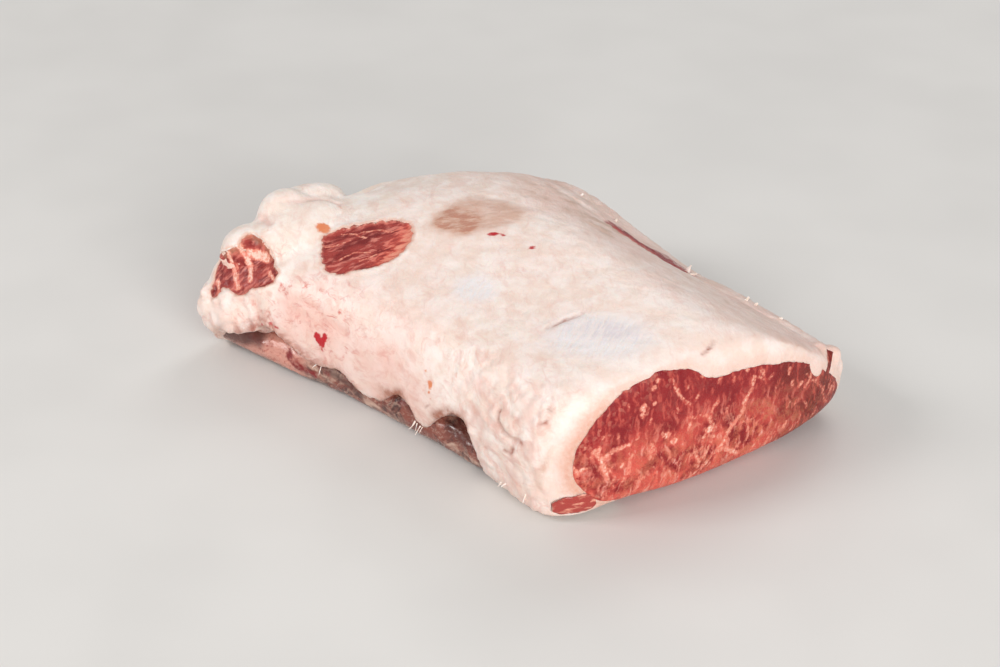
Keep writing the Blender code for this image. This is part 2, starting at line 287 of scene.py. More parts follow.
@dataclass(frozen=True)
class SoftForm:
    """A long soft form whose section changes along the roast.

    near_y and far_y run along the length, and corner_* say how round the section's four
    corners are, from 0, square, to 1, round.
    """

    near_y: Profile = ((0, -0.084), (0.15, -0.079), (0.35, -0.067), (0.55, -0.062), (1, -0.063))
    far_y: Profile = ((0, 0.071), (0.3, 0.083), (0.7, 0.087), (1, 0.086))
    near_in: Profile = ((0, 0), (1, 0))
    far_in: float = 0.0
    floor: Profile = ((0, -0.0031), (1, -0.0031))
    foot: float = 0.0
    under_crown: Profile = ((0, 0), (1, 0))
    flat_top: Profile | None = None
    corner_near_foot: float = 0.16
    corner_far_foot: float = 0.45
    corner_near_top: Profile = ((0, 0.95), (0.25, 0.8), (0.7, 0.68), (1, 0.60))
    corner_far_top: float = 1.0
    past: float = 0.0
    edge_box: Point = (0.100, 0.150, 0.029)
    edge_top: float = 0.0045
    edge_foot: float = 0.0085

    def top(self, share: Array, across: Array) -> Array:
        """Reads the form's height.

        Args:
            share: Share of the length, 0 at the -X end.
            across: From 0 at the near side to 1 at the far side.

        Returns:
            Z in metres.
        """
        if self.flat_top is not None:
            return read_profile(self.flat_top, share)
        return CROWN.height(share, across) - read_profile(self.under_crown, across)

    def soften(self, p: Array, radius: float) -> Array:
        """Moves points of a cube of side 2 onto one whose edges are broken by the radius.

        Args:
            p: The points.
            radius: In metres on a cube of the size edge_box.

        Returns:
            The moved points.
        """
        box = np.array(self.edge_box)
        q = p * box
        inner = np.clip(q, radius - box, box - radius)
        out = q - inner
        length = np.linalg.norm(out, axis=1, keepdims=True)
        return (inner + out / np.maximum(length, 1e-12) * radius * (length > 1e-12)) / box

    def draw(self, p: Array) -> Array:
        """Draws points of a cube of side 2 over the form.

        Args:
            p: Points as (along, across, up), each from -1 to 1.

        Returns:
            Places in metres.
        """
        head = (p[:, 2:] + 1) / 2
        p = self.soften(p, self.edge_top) * head + self.soften(p, self.edge_foot) * (1 - head)
        u, v, w = p.T
        share, side, up = (u + 1) / 2, (v + 1) / 2, (w + 1) / 2
        foot = self.corner_near_foot * (1 - side) + self.corner_far_foot * side
        crown = read_profile(self.corner_near_top, share) * (1 - side) + self.corner_far_top * side
        rho = (foot * (1 - up) + crown * up) / 2
        across = (v * np.sqrt(1 - rho * w * w) + 1) / 2
        lift = (w * np.sqrt(1 - rho * v * v) + 1) / 2
        near = read_profile(self.near_y, share) + read_profile(self.near_in, share)
        far = read_profile(self.far_y, share) - self.far_in
        floor = read_profile(self.floor, share)
        z = np.maximum(floor + (self.top(share, across) - floor) * lift, self.foot)
        return np.stack([ENDS.along(u, v, self.past), near + (far - near) * across, z], 1)

    def model(self, name: str, loops: Loops, rounding: int) -> Object:
        """Models the form as a cage that is then rounded.

        Args:
            name: The object's name.
            loops: How many loops are cut along X, Y and Z.
            rounding: How often the cage is subdivided.

        Returns:
            A closed mesh.
        """
        obj = Bench.cage(name, loops)
        Bench.mould(obj, self.draw(Bench.points(obj)))
        Bench.finish(obj, "SUBSURF", levels=rounding)
        return obj


# ---- modelling by hand


@dataclass(frozen=True)
class Lobe:
    """A squashed ball: middle and half sizes in metres, turns about X and then Z in degrees."""

    at: Point
    half: Point
    turn_z: float = 0.0
    turn_x: float = 0.0


class Bench:
    """The modelling steps that every piece of the roast is made with."""

    @staticmethod
    def clear() -> None:
        """Deselects everything."""
        bpy.ops.object.select_all(action="DESELECT")

    @staticmethod
    def pick(obj: Object) -> None:
        """Makes one object the only selected one.

        Args:
            obj: The object.
        """
        Bench.clear()
        obj.select_set(True)
        bpy.context.view_layer.objects.active = obj

    @staticmethod
    def select_along(obj: Object, axis: int) -> None:
        """Selects the edges of a mesh that run along an axis.

        Args:
            obj: The mesh object, in object mode.
            axis: 0, 1 or 2.
        """
        mesh = obj.data
        places = Bench.points(obj)
        ends = np.zeros(len(mesh.edges) * 2, np.int32)
        mesh.edges.foreach_get("vertices", ends)
        ends = ends.reshape(-1, 2)
        run = np.abs(places[ends[:, 0], axis] - places[ends[:, 1], axis]) > 1e-6
        mesh.vertices.foreach_set("select", np.zeros(len(mesh.vertices), bool))
        mesh.polygons.foreach_set("select", np.zeros(len(mesh.polygons), bool))
        mesh.edges.foreach_set("select", run)

    @staticmethod
    def block(name: str, loops: Loops) -> Object:
        """Adds a cube of side 2 and cuts loops across each of its axes.

        Args:
            name: The object's name.
            loops: How many loops are cut along X, Y and Z.

        Returns:
            The new object.
        """
        Bench.clear()
        bpy.ops.mesh.primitive_cube_add(size=2, location=(0, 0, 0))
        obj = bpy.context.object
        obj.name = name
        bpy.context.tool_settings.mesh_select_mode = (False, True, False)
        for axis, cuts in enumerate(loops):
            Bench.select_along(obj, axis)
            bpy.ops.object.mode_set(mode="EDIT")
            bpy.ops.mesh.subdivide(number_cuts=cuts)
            bpy.ops.object.mode_set(mode="OBJECT")
        return obj

    @staticmethod
    def cage(name: str, loops: Loops) -> Object:
        """Adds a coarse cube of side 2 whose loops gather at its ends.

        Args:
            name: The object's name.
            loops: How many loops are cut along X, Y and Z.

        Returns:
            The new object.
        """
        obj = Bench.block(name, loops)
        p = Bench.points(obj)
        Bench.mould(obj, 0.5 * p + 0.5 * np.sin(p * math.pi / 2))
        return obj

    @staticmethod
    def soften(obj: Object, weights: Array, times: int) -> None:
        """Smooths a mesh where a weight says so.

        Args:
            obj: The mesh object.
            weights: From 0 to 1 for each vertex.
            times: How often it is smoothed.
        """
        group = obj.vertex_groups.new(name="soft")
        for step in range(1, 6):
            chosen = np.where(np.round(weights * 5) == step)[0]
            group.add(chosen.tolist(), step / 5, "REPLACE")
        Bench.finish(obj, "SMOOTH", factor=0.5, iterations=times, vertex_group="soft")
        obj.vertex_groups.remove(obj.vertex_groups["soft"])

    @staticmethod
    def ball(name: str, lobe: Lobe) -> Object:
        """Adds a squashed ball.

        Args:
            name: The object's name.
            lobe: Its place, half sizes and turns.

        Returns:
            The new object.
        """
        Bench.clear()
        bpy.ops.mesh.primitive_uv_sphere_add(
            segments=40,
            ring_count=24,
            radius=1,
            location=lobe.at,
            rotation=(math.radians(lobe.turn_x), 0, math.radians(lobe.turn_z)),
            scale=lobe.half,
        )
        obj = bpy.context.object
        obj.name = name
        bpy.ops.object.transform_apply(location=True, rotation=True, scale=True)
        return obj

    @staticmethod
    def drum(name: str, sides: int) -> Object:
        """Adds an upright drum of radius 1 from -1 to 1 along Z.

        Args:
            name: The object's name.
            sides: The number of its sides.

        Returns:
            The new object.
        """
        Bench.clear()
        bpy.ops.mesh.primitive_cylinder_add(vertices=sides, radius=1, depth=2, location=(0, 0, 0))
        obj = bpy.context.object
        obj.name = name
        return obj

    @staticmethod
    def rows(items: bpy.types.bpy_prop_collection, field: str) -> Array:
        """Reads three numbers from each item of a mesh.

        Args:
            items: The mesh's vertices, normals or faces.
            field: The name of what is read.

        Returns:
            One row for each item.
        """
        flat = np.zeros(len(items) * 3, np.float32)
        items.foreach_get(field, flat)
        return flat.reshape(-1, 3).astype(float)

    @staticmethod
    def points(obj: Object) -> Array:
        """The mesh's vertices in metres, one a row."""
        return Bench.rows(obj.data.vertices, "co")

    @staticmethod
    def normals(obj: Object) -> Array:
        """The mesh's vertex normals, one a row."""
        return Bench.rows(obj.data.vertex_normals, "vector")

    @staticmethod
    def mould(obj: Object, places: Array) -> None:
        """Puts the mesh's vertices at new places in metres, one a row."""
        obj.data.vertices.foreach_set("co", places.astype(np.float32).ravel())
        obj.data.update()

    @staticmethod
    def finish(obj: Object, kind: str, **settings: object) -> None:
        """Adds a modifier to an object and applies it.

        Args:
            obj: The object.
            kind: The modifier's type.
            **settings: Its settings by name.
        """
        Bench.pick(obj)
        modifier = obj.modifiers.new(kind.lower(), kind)
        for name, value in settings.items():
            setattr(modifier, name, value)
        bpy.ops.object.modifier_apply(modifier=modifier.name)

    @staticmethod
    def carve(obj: Object, other: Object, operation: str) -> None:
        """Cuts, joins or crosses one closed mesh with another, which stays."""
        Bench.finish(obj, "BOOLEAN", operation=operation, object=other, solver="MANIFOLD")

    @staticmethod
    def merge(objects: Sequence[Object]) -> Object:
        """Joins objects into the first of them.

        Args:
            objects: The mesh objects.

        Returns:
            The first object, which holds them all.
        """
        Bench.clear()
        for obj in objects:
            obj.select_set(True)
        bpy.context.view_layer.objects.active = objects[0]
        bpy.ops.object.join()
        return objects[0]

    @staticmethod
    def copy(obj: Object, name: str) -> Object:
        """Copies an object with its own mesh.

        Args:
            obj: The object.
            name: The copy's name.

        Returns:
            The copy.
        """
        made = obj.copy()
        made.data = obj.data.copy()
        made.name = name
        bpy.context.scene.collection.objects.link(made)
        return made

    @staticmethod
    def discard(*objects: Object) -> None:
        """Removes helper objects."""
        for obj in objects:
            bpy.data.objects.remove(obj, do_unlink=True)

    @staticmethod
    def outward(obj: Object) -> None:
        """Turns every face of a closed mesh outwards.

        Args:
            obj: The mesh object.
        """
        Bench.pick(obj)
        bpy.ops.object.mode_set(mode="EDIT")
        bpy.ops.mesh.select_all(action="SELECT")
        bpy.ops.mesh.normals_make_consistent(inside=False)
        bpy.ops.object.mode_set(mode="OBJECT")

    @staticmethod
    def refine(obj: Object, wanted: Array) -> None:
        """Cuts each chosen face in four.

        Args:
            obj: The mesh object.
            wanted: True for each face that is cut.
        """
        Bench.pick(obj)
        bpy.context.tool_settings.mesh_select_mode = (False, False, True)
        obj.data.vertices.foreach_set("select", np.zeros(len(obj.data.vertices), bool))
        obj.data.edges.foreach_set("select", np.zeros(len(obj.data.edges), bool))
        obj.data.polygons.foreach_set("select", wanted)
        bpy.ops.object.mode_set(mode="EDIT")
        bpy.ops.mesh.subdivide(number_cuts=1)
        bpy.ops.object.mode_set(mode="OBJECT")

    @staticmethod
    def surface(obj: Object) -> BVHTree:
        """Reads a mesh for nearest-point searches."""
        bpy.context.view_layer.update()
        return BVHTree.FromObject(obj, bpy.context.evaluated_depsgraph_get())

    @staticmethod
    def paint(obj: Object, **layers: Array) -> None:
        """Stores numbers at each vertex for a finish to read.

        Args:
            obj: The mesh object.
            **layers: One number for each vertex, by the attribute's name.
        """
        for name, values in layers.items():
            layer = obj.data.attributes.new(name, "FLOAT", "POINT")
            layer.data.foreach_set("value", values.astype(np.float32))


# ---- marks on the meat


@dataclass(frozen=True)
class Groove:
    """A crack, crease or ridge along a line on the surface, in millimetres."""

    line: Line
    width: float
    depth: float

    def near(self, p: Array, width: float) -> Array:
        """How close to the line points lie, from 0 far off to 1 on it."""
        return np.exp(-((distance_to_line(p, self.line) / width) ** 2))

    def dip(self, p: Array) -> Array:
        """How many millimetres the surface dips at points, negative for a ridge."""
        return self.depth * self.near(p, self.width)


@dataclass(frozen=True)
class Blot:
    """A patch of another colour along a line on the surface, in millimetres."""

    line: Line
    reach: float
    soft: float = 1.0
    strength: float = 1.0

    def cover(self, p: Array) -> Array:
        """How much of the patch's colour shows at points, from 0 to its strength."""
        away = distance_to_line(p, self.line)
        return self.strength * ramp(away, self.reach + self.soft / 2, self.reach - self.soft / 2)


def snap_line(line: Line, surface: BVHTree) -> Line:
    """Puts a line's points, in millimetres, onto a surface in metres."""
    return tuple(tuple(surface.find_nearest(Vector(point) * MM)[0] / MM) for point in line)


def snap_all(marks: Iterable[Groove | Blot], surface: BVHTree) -> list[Groove | Blot]:
    """Puts grooves or blots onto a surface."""
    return [replace(mark, line=snap_line(mark.line, surface)) for mark in marks]


def cover_all(blots: Iterable[Blot], p: Array) -> Array:
    """The strongest cover of several blots at points."""
    return np.max([blot.cover(p) for blot in blots], axis=0)


@dataclass(frozen=True)
class Oval:
    """A patch with a soft edge on the top of the roast, seen from above, in millimetres.

    ragged says how much the edge wanders, as a share of the oval.
    """

    at: Pair
    half: Pair
    turn: float
    soft: float
    ragged: float

    def cover(self, p: Array) -> Array:
        """How far inside the oval points lie.

        Args:
            p: Points in millimetres.

        Returns:
            1 in the middle, 0 outside.
        """
        c, s = cos_sin(self.turn)
        x, y = p[:, 0] - self.at[0], p[:, 1] - self.at[1]
        along, across = x * c + y * s, y * c - x * s
        away = np.hypot(along / self.half[0], across / self.half[1])
        away = away + self.ragged * MIDDLE.octaves(p / 9, 3)
        return ramp(away, 1 + self.soft, 1 - self.soft)


@dataclass(frozen=True)
class Outline:
    """The ragged outline of a window in the fat, in millimetres.

    The window looks up, leant over towards the near side by the tilt, in degrees.
    """

    corners: Line
    tilt: float = 0.0
    ragged: float = 0.9
    cell: float = 2.6

    def flat(self, p: Array) -> Array:
        """Points as along, across and above the window."""
        c, s = cos_sin(self.tilt)
        return np.stack([p[:, 0], p[:, 1] * c + p[:, 2] * s, p[:, 2] * c - p[:, 1] * s], 1)

    def ring(self, count: int = 240) -> Array:
        """The outline as a smooth and ragged closed line.

        Args:
            count: The number of its points.

        Returns:
            Along and across the window.
        """
        flat = self.flat(np.array(self.corners, float))[:, :2]
        lap = np.vstack([flat, flat, flat, flat[:1]])
        walked = np.concatenate([[0], np.cumsum(np.linalg.norm(np.diff(lap, axis=0), axis=1))])
        round_trip = walked[-1] / 3
        at = round_trip * (1 + np.arange(count) / count)
        line = np.stack([read_profile(tuple(zip(walked, lap[:, k])), at) for k in (0, 1)], 1)
        ahead = np.roll(line, -1, axis=0) - np.roll(line, 1, axis=0)
        side = np.stack([ahead[:, 1], -ahead[:, 0]], 1) / np.linalg.norm(ahead, axis=1, keepdims=True)
        place = np.column_stack([line, np.zeros(count)])
        return line + side * (self.ragged * FINE.octaves(place / self.cell, 3))[:, None]

    def cover(self, blots: Sequence[Blot], p: Array) -> Array:
        """Lays blots over the window as it is seen from straight above it.

        Args:
            blots: The blots.
            p: Points in millimetres.

        Returns:
            The strongest cover at each point.
        """
        flatten = np.array([1.0, 1.0, 0.0])
        lines = [self.flat(np.array(blot.line, float)) * flatten for blot in blots]
        laid = [replace(blot, line=tuple(map(tuple, line))) for blot, line in zip(blots, lines)]
        return cover_all(laid, self.flat(p) * flatten)

    def depth(self, p: Array, reach: float = 6.0) -> Array:
        """How far inside the outline points lie.

        Args:
            p: Points in millimetres.
            reach: The largest distance that counts.

        Returns:
            Millimetres, negative outside.
        """
        ring = self.ring()
        flat = self.flat(p)
        low, high = ring.min(0) - reach, ring.max(0) + reach
        close = np.where(((flat[:, :2] > low) & (flat[:, :2] < high)).all(1))[0]
        q = flat[close, :2]
        away = np.full(len(q), reach)
        crossings = np.zeros(len(q), int)
        for a, b in zip(ring, np.roll(ring, -1, axis=0)):
            along = b - a
            t = np.clip(((q - a) @ along) / (along @ along), 0, 1)
            away = np.minimum(away, np.linalg.norm(q - a - t[:, None] * along, axis=1))
            between = (q[:, 1] > min(a[1], b[1])) & (q[:, 1] <= max(a[1], b[1]))
            slope = along[1] if abs(along[1]) > 1e-9 else 1e-9
            crossings += between & (q[:, 0] < a[0] + (q[:, 1] - a[1]) * along[0] / slope)
        depth = np.full(len(p), -reach)
        depth[close] = np.where(crossings % 2 == 1, away, -away)
        return depth


@dataclass(frozen=True)
class Marks:
    """Where the marks of this roast lie, in millimetres."""

    cracks: tuple[Groove, ...] = (
        Groove(((52, -28.1, 56.6), (52.9, -23.4, 57.4), (54, -18.5, 58.2), (54.7, -14.6, 58.8)), 0.8, 0.9),
        Groove(((101.2, 3, 55.5), (101.1, 5.5, 56.2), (99.2, 9.9, 57.5)), 0.8, 0.8),
        Groove(
            (
                (61.4, -60, 37.5), (61.8, -60.8, 34.1), (64.7, -61.3, 30.6), (69.6, -61.6, 30.1),
                (75.7, -61.7, 31.5),
            ),
            1.2, 1.1,
        ),
        Groove(((81.8, -59, 41.4), (84.6, -57.7, 42.2), (85.1, -56.8, 43.8)), 0.8, 0.7),
        Groove(((82.9, -55.4, 47.2), (85, -55.3, 46.5)), 0.8, 0.6),
        Groove(((66.1, -61.6, 23.6), (69.1, -61.7, 23.9), (70.9, -61.8, 26.6)), 0.9, 0.6),
        Groove(((17.3, -60.7, 19.7), (19, -60.6, 19.1), (20.9, -60.6, 20.5)), 0.6, 0.5),
    )
    creases: tuple[Groove, ...] = (
        Groove(
            ((-88.4, -48.4, 62.4), (-86.3, -41.1, 60.4), (-86, -32, 56.5), (-80, -27.1, 55.5)), 1.6, 1.0
        ),
        Groove(((-92.9, -58.5, 55.8), (-88.9, -57.3, 54.4), (-84.7, -56, 51.6)), 1.4, 1),
        Groove(((-72.5, -76, 33), (-70.3, -76.8, 28.7), (-68.4, -76.8, 23.8)), 1.4, 0.9),
        Groove(
            (
                (-62.1, -70.1, 39), (-55.9, -69.7, 37.8), (-50.4, -67.8, 38.6), (-43.7, -66.8, 37.5),
                (-38.7, -66.7, 35), (-34.4, -66.5, 34.2), (-27, -65, 33.5),
            ),
            2.3, 0.5,
        ),
        Groove(
            ((-59.4, -71.2, 36), (-52.9, -70.1, 34.6), (-45.2, -68.8, 33), (-38.5, -67.3, 32)),
            1.6, 0.35,
        ),
    )
    blood: tuple[Blot, ...] = (
        Blot(((-39.9, -68.7, 27), (-38.4, -68.5, 25.6), (-37.8, -68.3, 24)), 1.75, 0.8),
        Blot(((-35.9, -68.1, 27.9), (-36.9, -68.3, 26), (-38, -68.2, 23.6)), 1.5, 0.8),
        Blot(((-38.2, -68, 23), (-37.4, -67.5, 21)), 0.8, 0.9, 0.75),
        Blot(((-8.6, -5.6, 63.6), (-7.2, -4.2, 63.9)), 1, 0.9, 0.95),
        Blot(((-5.6, -3.4, 64), (-3.6, -2.6, 64.2)), 0.5, 0.8, 0.7),
        Blot(((10.5, -0.6, 63.4),), 1.2, 0.9, 0.95),
        Blot(((-63, -75.3, 24.9), (-59, -74.2, 24.4)), 0.6, 0.8, 0.7),
        Blot(((-67.1, -76.4, 23.1), (-66.5, -76, 21.5)), 0.7, 1, 0.8),
    )
    rust: tuple[Blot, ...] = (
        Blot(((-70.2, -43, 53.4), (-69, -42.6, 53.4)), 2.5, 2.2),
        Blot(((18.6, -59.9, 34.6),), 0.7, 0.8, 0.9),
        Blot(((21.6, -60.5, 30.9), (21.7, -60.7, 29.6)), 1.1, 1.2, 0.8),
        Blot(((21.3, -60.8, 27),), 0.7, 0.8, 0.7),
        Blot(((22.4, -60.7, 24.3),), 0.6, 0.8, 0.7),
        Blot(((33.7, -58, 39.7), (34.8, -58.5, 38.1)), 0.9, 1.6, 0.5),
        Blot(((-77, -29, 57),), 1.6, 2, 0.35),
        Blot(((-89.7, -71.9, 46.5), (-87.4, -70.5, 46.9)), 1.6, 2, 0.6),
        Blot(((-85.4, -60.6, 46.2), (-79.4, -61, 46.2)), 1.5, 2, 0.6),
    )
    stains: tuple[Blot, ...] = (
        Blot(((41, 45, 52), (48, 46, 51)), 3, 5, 0.8),
        Blot(((60, 46, 49), (70, 44, 49)), 3, 6, 0.8),
        Blot(((-30, 36, 61), (-8, 44, 57), (10, 45, 54)), 9, 12, 0.8),
        Blot(((-80, 5, 56), (-60, 20, 61)), 8, 12, 0.2),
        Blot(((84.5, -60.1, 18.5), (87.1, -58.7, 26.1), (88.1, -57.8, 29.7)), 2.5, 5, 0.9),
    )
    thin_patch: Oval = Oval((-22.5, 0.5), (17, 13), 50, 0.28, 0.25)
    thin_corner: Oval = Oval((-27, -9), (9.5, 7), 20, 0.6, 0.3)
    film: Oval = Oval((70, -20), (20, 13.5), 35, 0.35, 0.15)
    film_core: Oval = Oval((71, -15.5), (13, 5), 30, 0.6, 0.3)
    small_film: Oval = Oval((11.5, -30.5), (9, 6.5), 10, 0.5, 0.2)
    window: Outline = Outline(
        (
            (-60.3, -50.8, 51.1), (-66.4, -44, 52.9), (-62.9, -36.8, 55.3), (-55.9, -29.3, 58.3),
            (-46.4, -22.4, 60.2), (-38.8, -21.6, 60.2), (-33, -25.8, 59.3), (-29.7, -32.6, 57),
            (-31, -40.8, 54.2), (-38, -49.6, 51), (-46.6, -56, 48.4), (-54.3, -54.7, 49.5),
        ),
        ragged=1.7,
        cell=3.2,
    )
    window_streaks: tuple[Line, ...] = (
        ((-62, -49, 51.6), (-58.3, -45.7, 52.9), (-55.2, -40, 54.9)),
        ((-50, -49.9, 51.4), (-47.8, -43.5, 53.7), (-41.9, -40, 54.9)),
        ((-54.8, -34.2, 56.8), (-49.7, -30, 58.3), (-43.6, -27.6, 59), (-42.4, -24, 60.4)),
        ((-41.9, -45, 53), (-40.6, -43, 53.7), (-38.8, -39.3, 55)),
        ((-61.5, -39.3, 54.9), (-56, -36.3, 56.1), (-50.1, -35.7, 56.4)),
    )
    shoulder: Outline = Outline(
        (
            (-95.1, -81.9, 29.2), (-98.2, -78.1, 34), (-100.4, -73.4, 38), (-96.5, -73.4, 42.5),
            (-93.3, -74.1, 45.7), (-89.9, -71.8, 47.7), (-86.5, -69.8, 47), (-88.4, -67.4, 42.6),
            (-89.8, -64.4, 43.9), (-89.6, -60.5, 45.4), (-85.2, -60, 46), (-76.4, -62.2, 45.7),
            (-72.3, -65.7, 44.1), (-67.6, -67.1, 42.9), (-67.6, -70.1, 40.3), (-72.4, -73.8, 36.9),
            (-76.8, -75.8, 34.8), (-79.8, -77.8, 31.9), (-83.9, -78.5, 31.8), (-87.3, -78.6, 32.3),
            (-90.5, -79.5, 31.2), (-90.1, -81.8, 29.4), (-92.7, -83.2, 27),
        ),
        37.0, 0.5,
    )
    windows_from: float = 22.0
    outside: float = -8.0
    shoulder_fat: tuple[Blot, ...] = (
        Blot(((-92.2, -73, 43.5), (-90, -74.4, 40.5), (-87.5, -75.6, 37), (-83.6, -77.1, 34.2)), 0.9, 1.3),
        Blot(((-88.5, -72.5, 40.2), (-86, -74.8, 37), (-82, -76.8, 34.6)), 0.5, 1, 0.7),
        Blot(
            ((-91.8, -64.5, 43.6), (-87.5, -67.5, 42.4), (-84, -69.5, 41.5), (-79.1, -73.5, 38)), 1.1, 1.4
        ),
        Blot(((-84.9, -66.3, 43.2), (-82.2, -64.9, 44.1), (-78.6, -64.7, 44.4)), 1.7, 1.5),
        Blot(((-73, -68.2, 42.4), (-68, -69.3, 41.2)), 0.8, 1.4, 0.9),
        Blot(((-95.5, -79, 33), (-92.5, -80.5, 31), (-91, -81.5, 29.5)), 0.9, 1.4, 0.8),
    )
    shoulder_rims: tuple[Blot, ...] = (
        Blot(
            ((-94.5, -74.5, 44), (-90.4, -72.7, 46.6), (-88.6, -69.5, 46), (-90.6, -66.5, 43.2)),
            1.3, 2.6, 0.9,
        ),
        Blot(
            ((-91.3, -62.9, 44.4), (-88.8, -60.6, 45.6), (-81.4, -60.9, 46.3), (-76, -63, 45.8)),
            1.4, 2.6, 0.9,
        ),
    )
    far_seam: Line = (
        (-34, 51, 57), (-16, 54, 53.1), (-6, 54.8, 51.3), (1, 56.5, 49), (7, 59, 46.3),
        (14, 60.6, 44.4), (22, 61.6, 42.7), (31, 61.2, 42), (48, 67, 37.5), (85, 73, 32.5),
        (112, 71.5, 29.5),
    )
    seam_shows: Profile = ((-12, 0), (-5, 1), (31, 1), (36, 0), (94, 0), (99, 0.45), (112, 0.49))
    seam_red: tuple[Blot, ...] = (
        Blot(((-4.5, 57, 49.4), (1, 60, 46.6), (7, 65, 42.4), (14, 68.5, 39.6)), 4, 2, 0.95),
        Blot(((14, 68.5, 39.6), (23, 68, 38.6), (31, 65, 39.4)), 3.6, 2, 0.9),
    )
    red_wisps: tuple[Blot, ...] = (
        Blot(((-62, -66, 38), (-50, -62, 41), (-34, -61, 38)), 3, 5),
        Blot(((-34, -66, 28), (-22, -65, 24)), 4, 6, 0.8),
        Blot(((10, -20, 58), (22, -10, 59)), 2, 7, 0.5),
        Blot(((-20, -60, 34), (2, -58, 32)), 3, 7, 0.6),
    )
    lips: tuple[Blot, ...] = (
        Blot(((-7, -61.8, 15.2), (-0.8, -60.5, 14.6), (5.8, -60.8, 19)), 2, 4.5, 0.95),
        Blot(((24, -60, 18), (33, -60, 24), (42, -60, 22)), 1.6, 4, 0.8),
    )


MARKS = Marks()


def window_depth(p: Array, n: Array) -> Array:
    """How many millimetres inside a window points with these normals lie, negative outside."""
    inside = np.maximum(MARKS.window.depth(p), MARKS.shoulder.depth(p))
    return np.where((n[:, 2] > 0.05) & (p[:, 2] > MARKS.windows_from), inside, MARKS.outside)


# ---- outer form and relief


@dataclass(frozen=True)
class Skirt:
    """The lower edge of the fat on one side, as height along X, and what is cut away below.

    side_y is where the cut starts, outward is -1 or 1, and undercut is how much further in
    its foot reaches.
    """

    foot: Profile
    outward: int
    undercut: float
    depth: float = 0.0
    start_y: float | None = None
    out: float = 0.048
    down: float = 0.012
    loops: Loops = (220, 8, 7)

    def inner_y(self, x: Array) -> Array:
        """Where the cut starts.

        Args:
            x: Places along the roast, in metres.

        Returns:
            Y in metres.
        """
        if self.start_y is not None:
            return np.full_like(x, self.start_y)
        share = (x - ENDS.left_x) / (ENDS.cut_x - ENDS.left_x)
        return read_profile(SoftForm().near_y, share) + self.depth

    def cutter(self, name: str) -> Object:
        """Models what is cut away.

        Args:
            name: The cutter's name.

        Returns:
            A closed mesh.
        """
        obj = Bench.block(name, self.loops)
        p = Bench.points(obj)
        first, last = self.foot[0][0], self.foot[-1][0]
        x = first + (last - first) * (p[:, 0] + 1) / 2
        out = (p[:, 1] * self.outward + 1) / 2
        up = (p[:, 2] + 1) / 2
        hollow = (1 - out) * self.undercut * (1 - up) ** 0.7
        y = self.inner_y(x) + self.outward * (out**2 * self.out - hollow)
        ragged = FINE.octaves(np.stack([x, y, 0 * x], 1) / 0.006, 3) * 0.0011
        z = -self.down + (read_profile(self.foot, x) + ragged + self.down) * up
        wall = MIDDLE.octaves(np.stack([x, y, z], 1) / 0.008, 3) * 0.0012
        Bench.mould(obj, np.stack([x, y + wall * (1 - out), z], 1))
        Bench.outward(obj)
        return obj


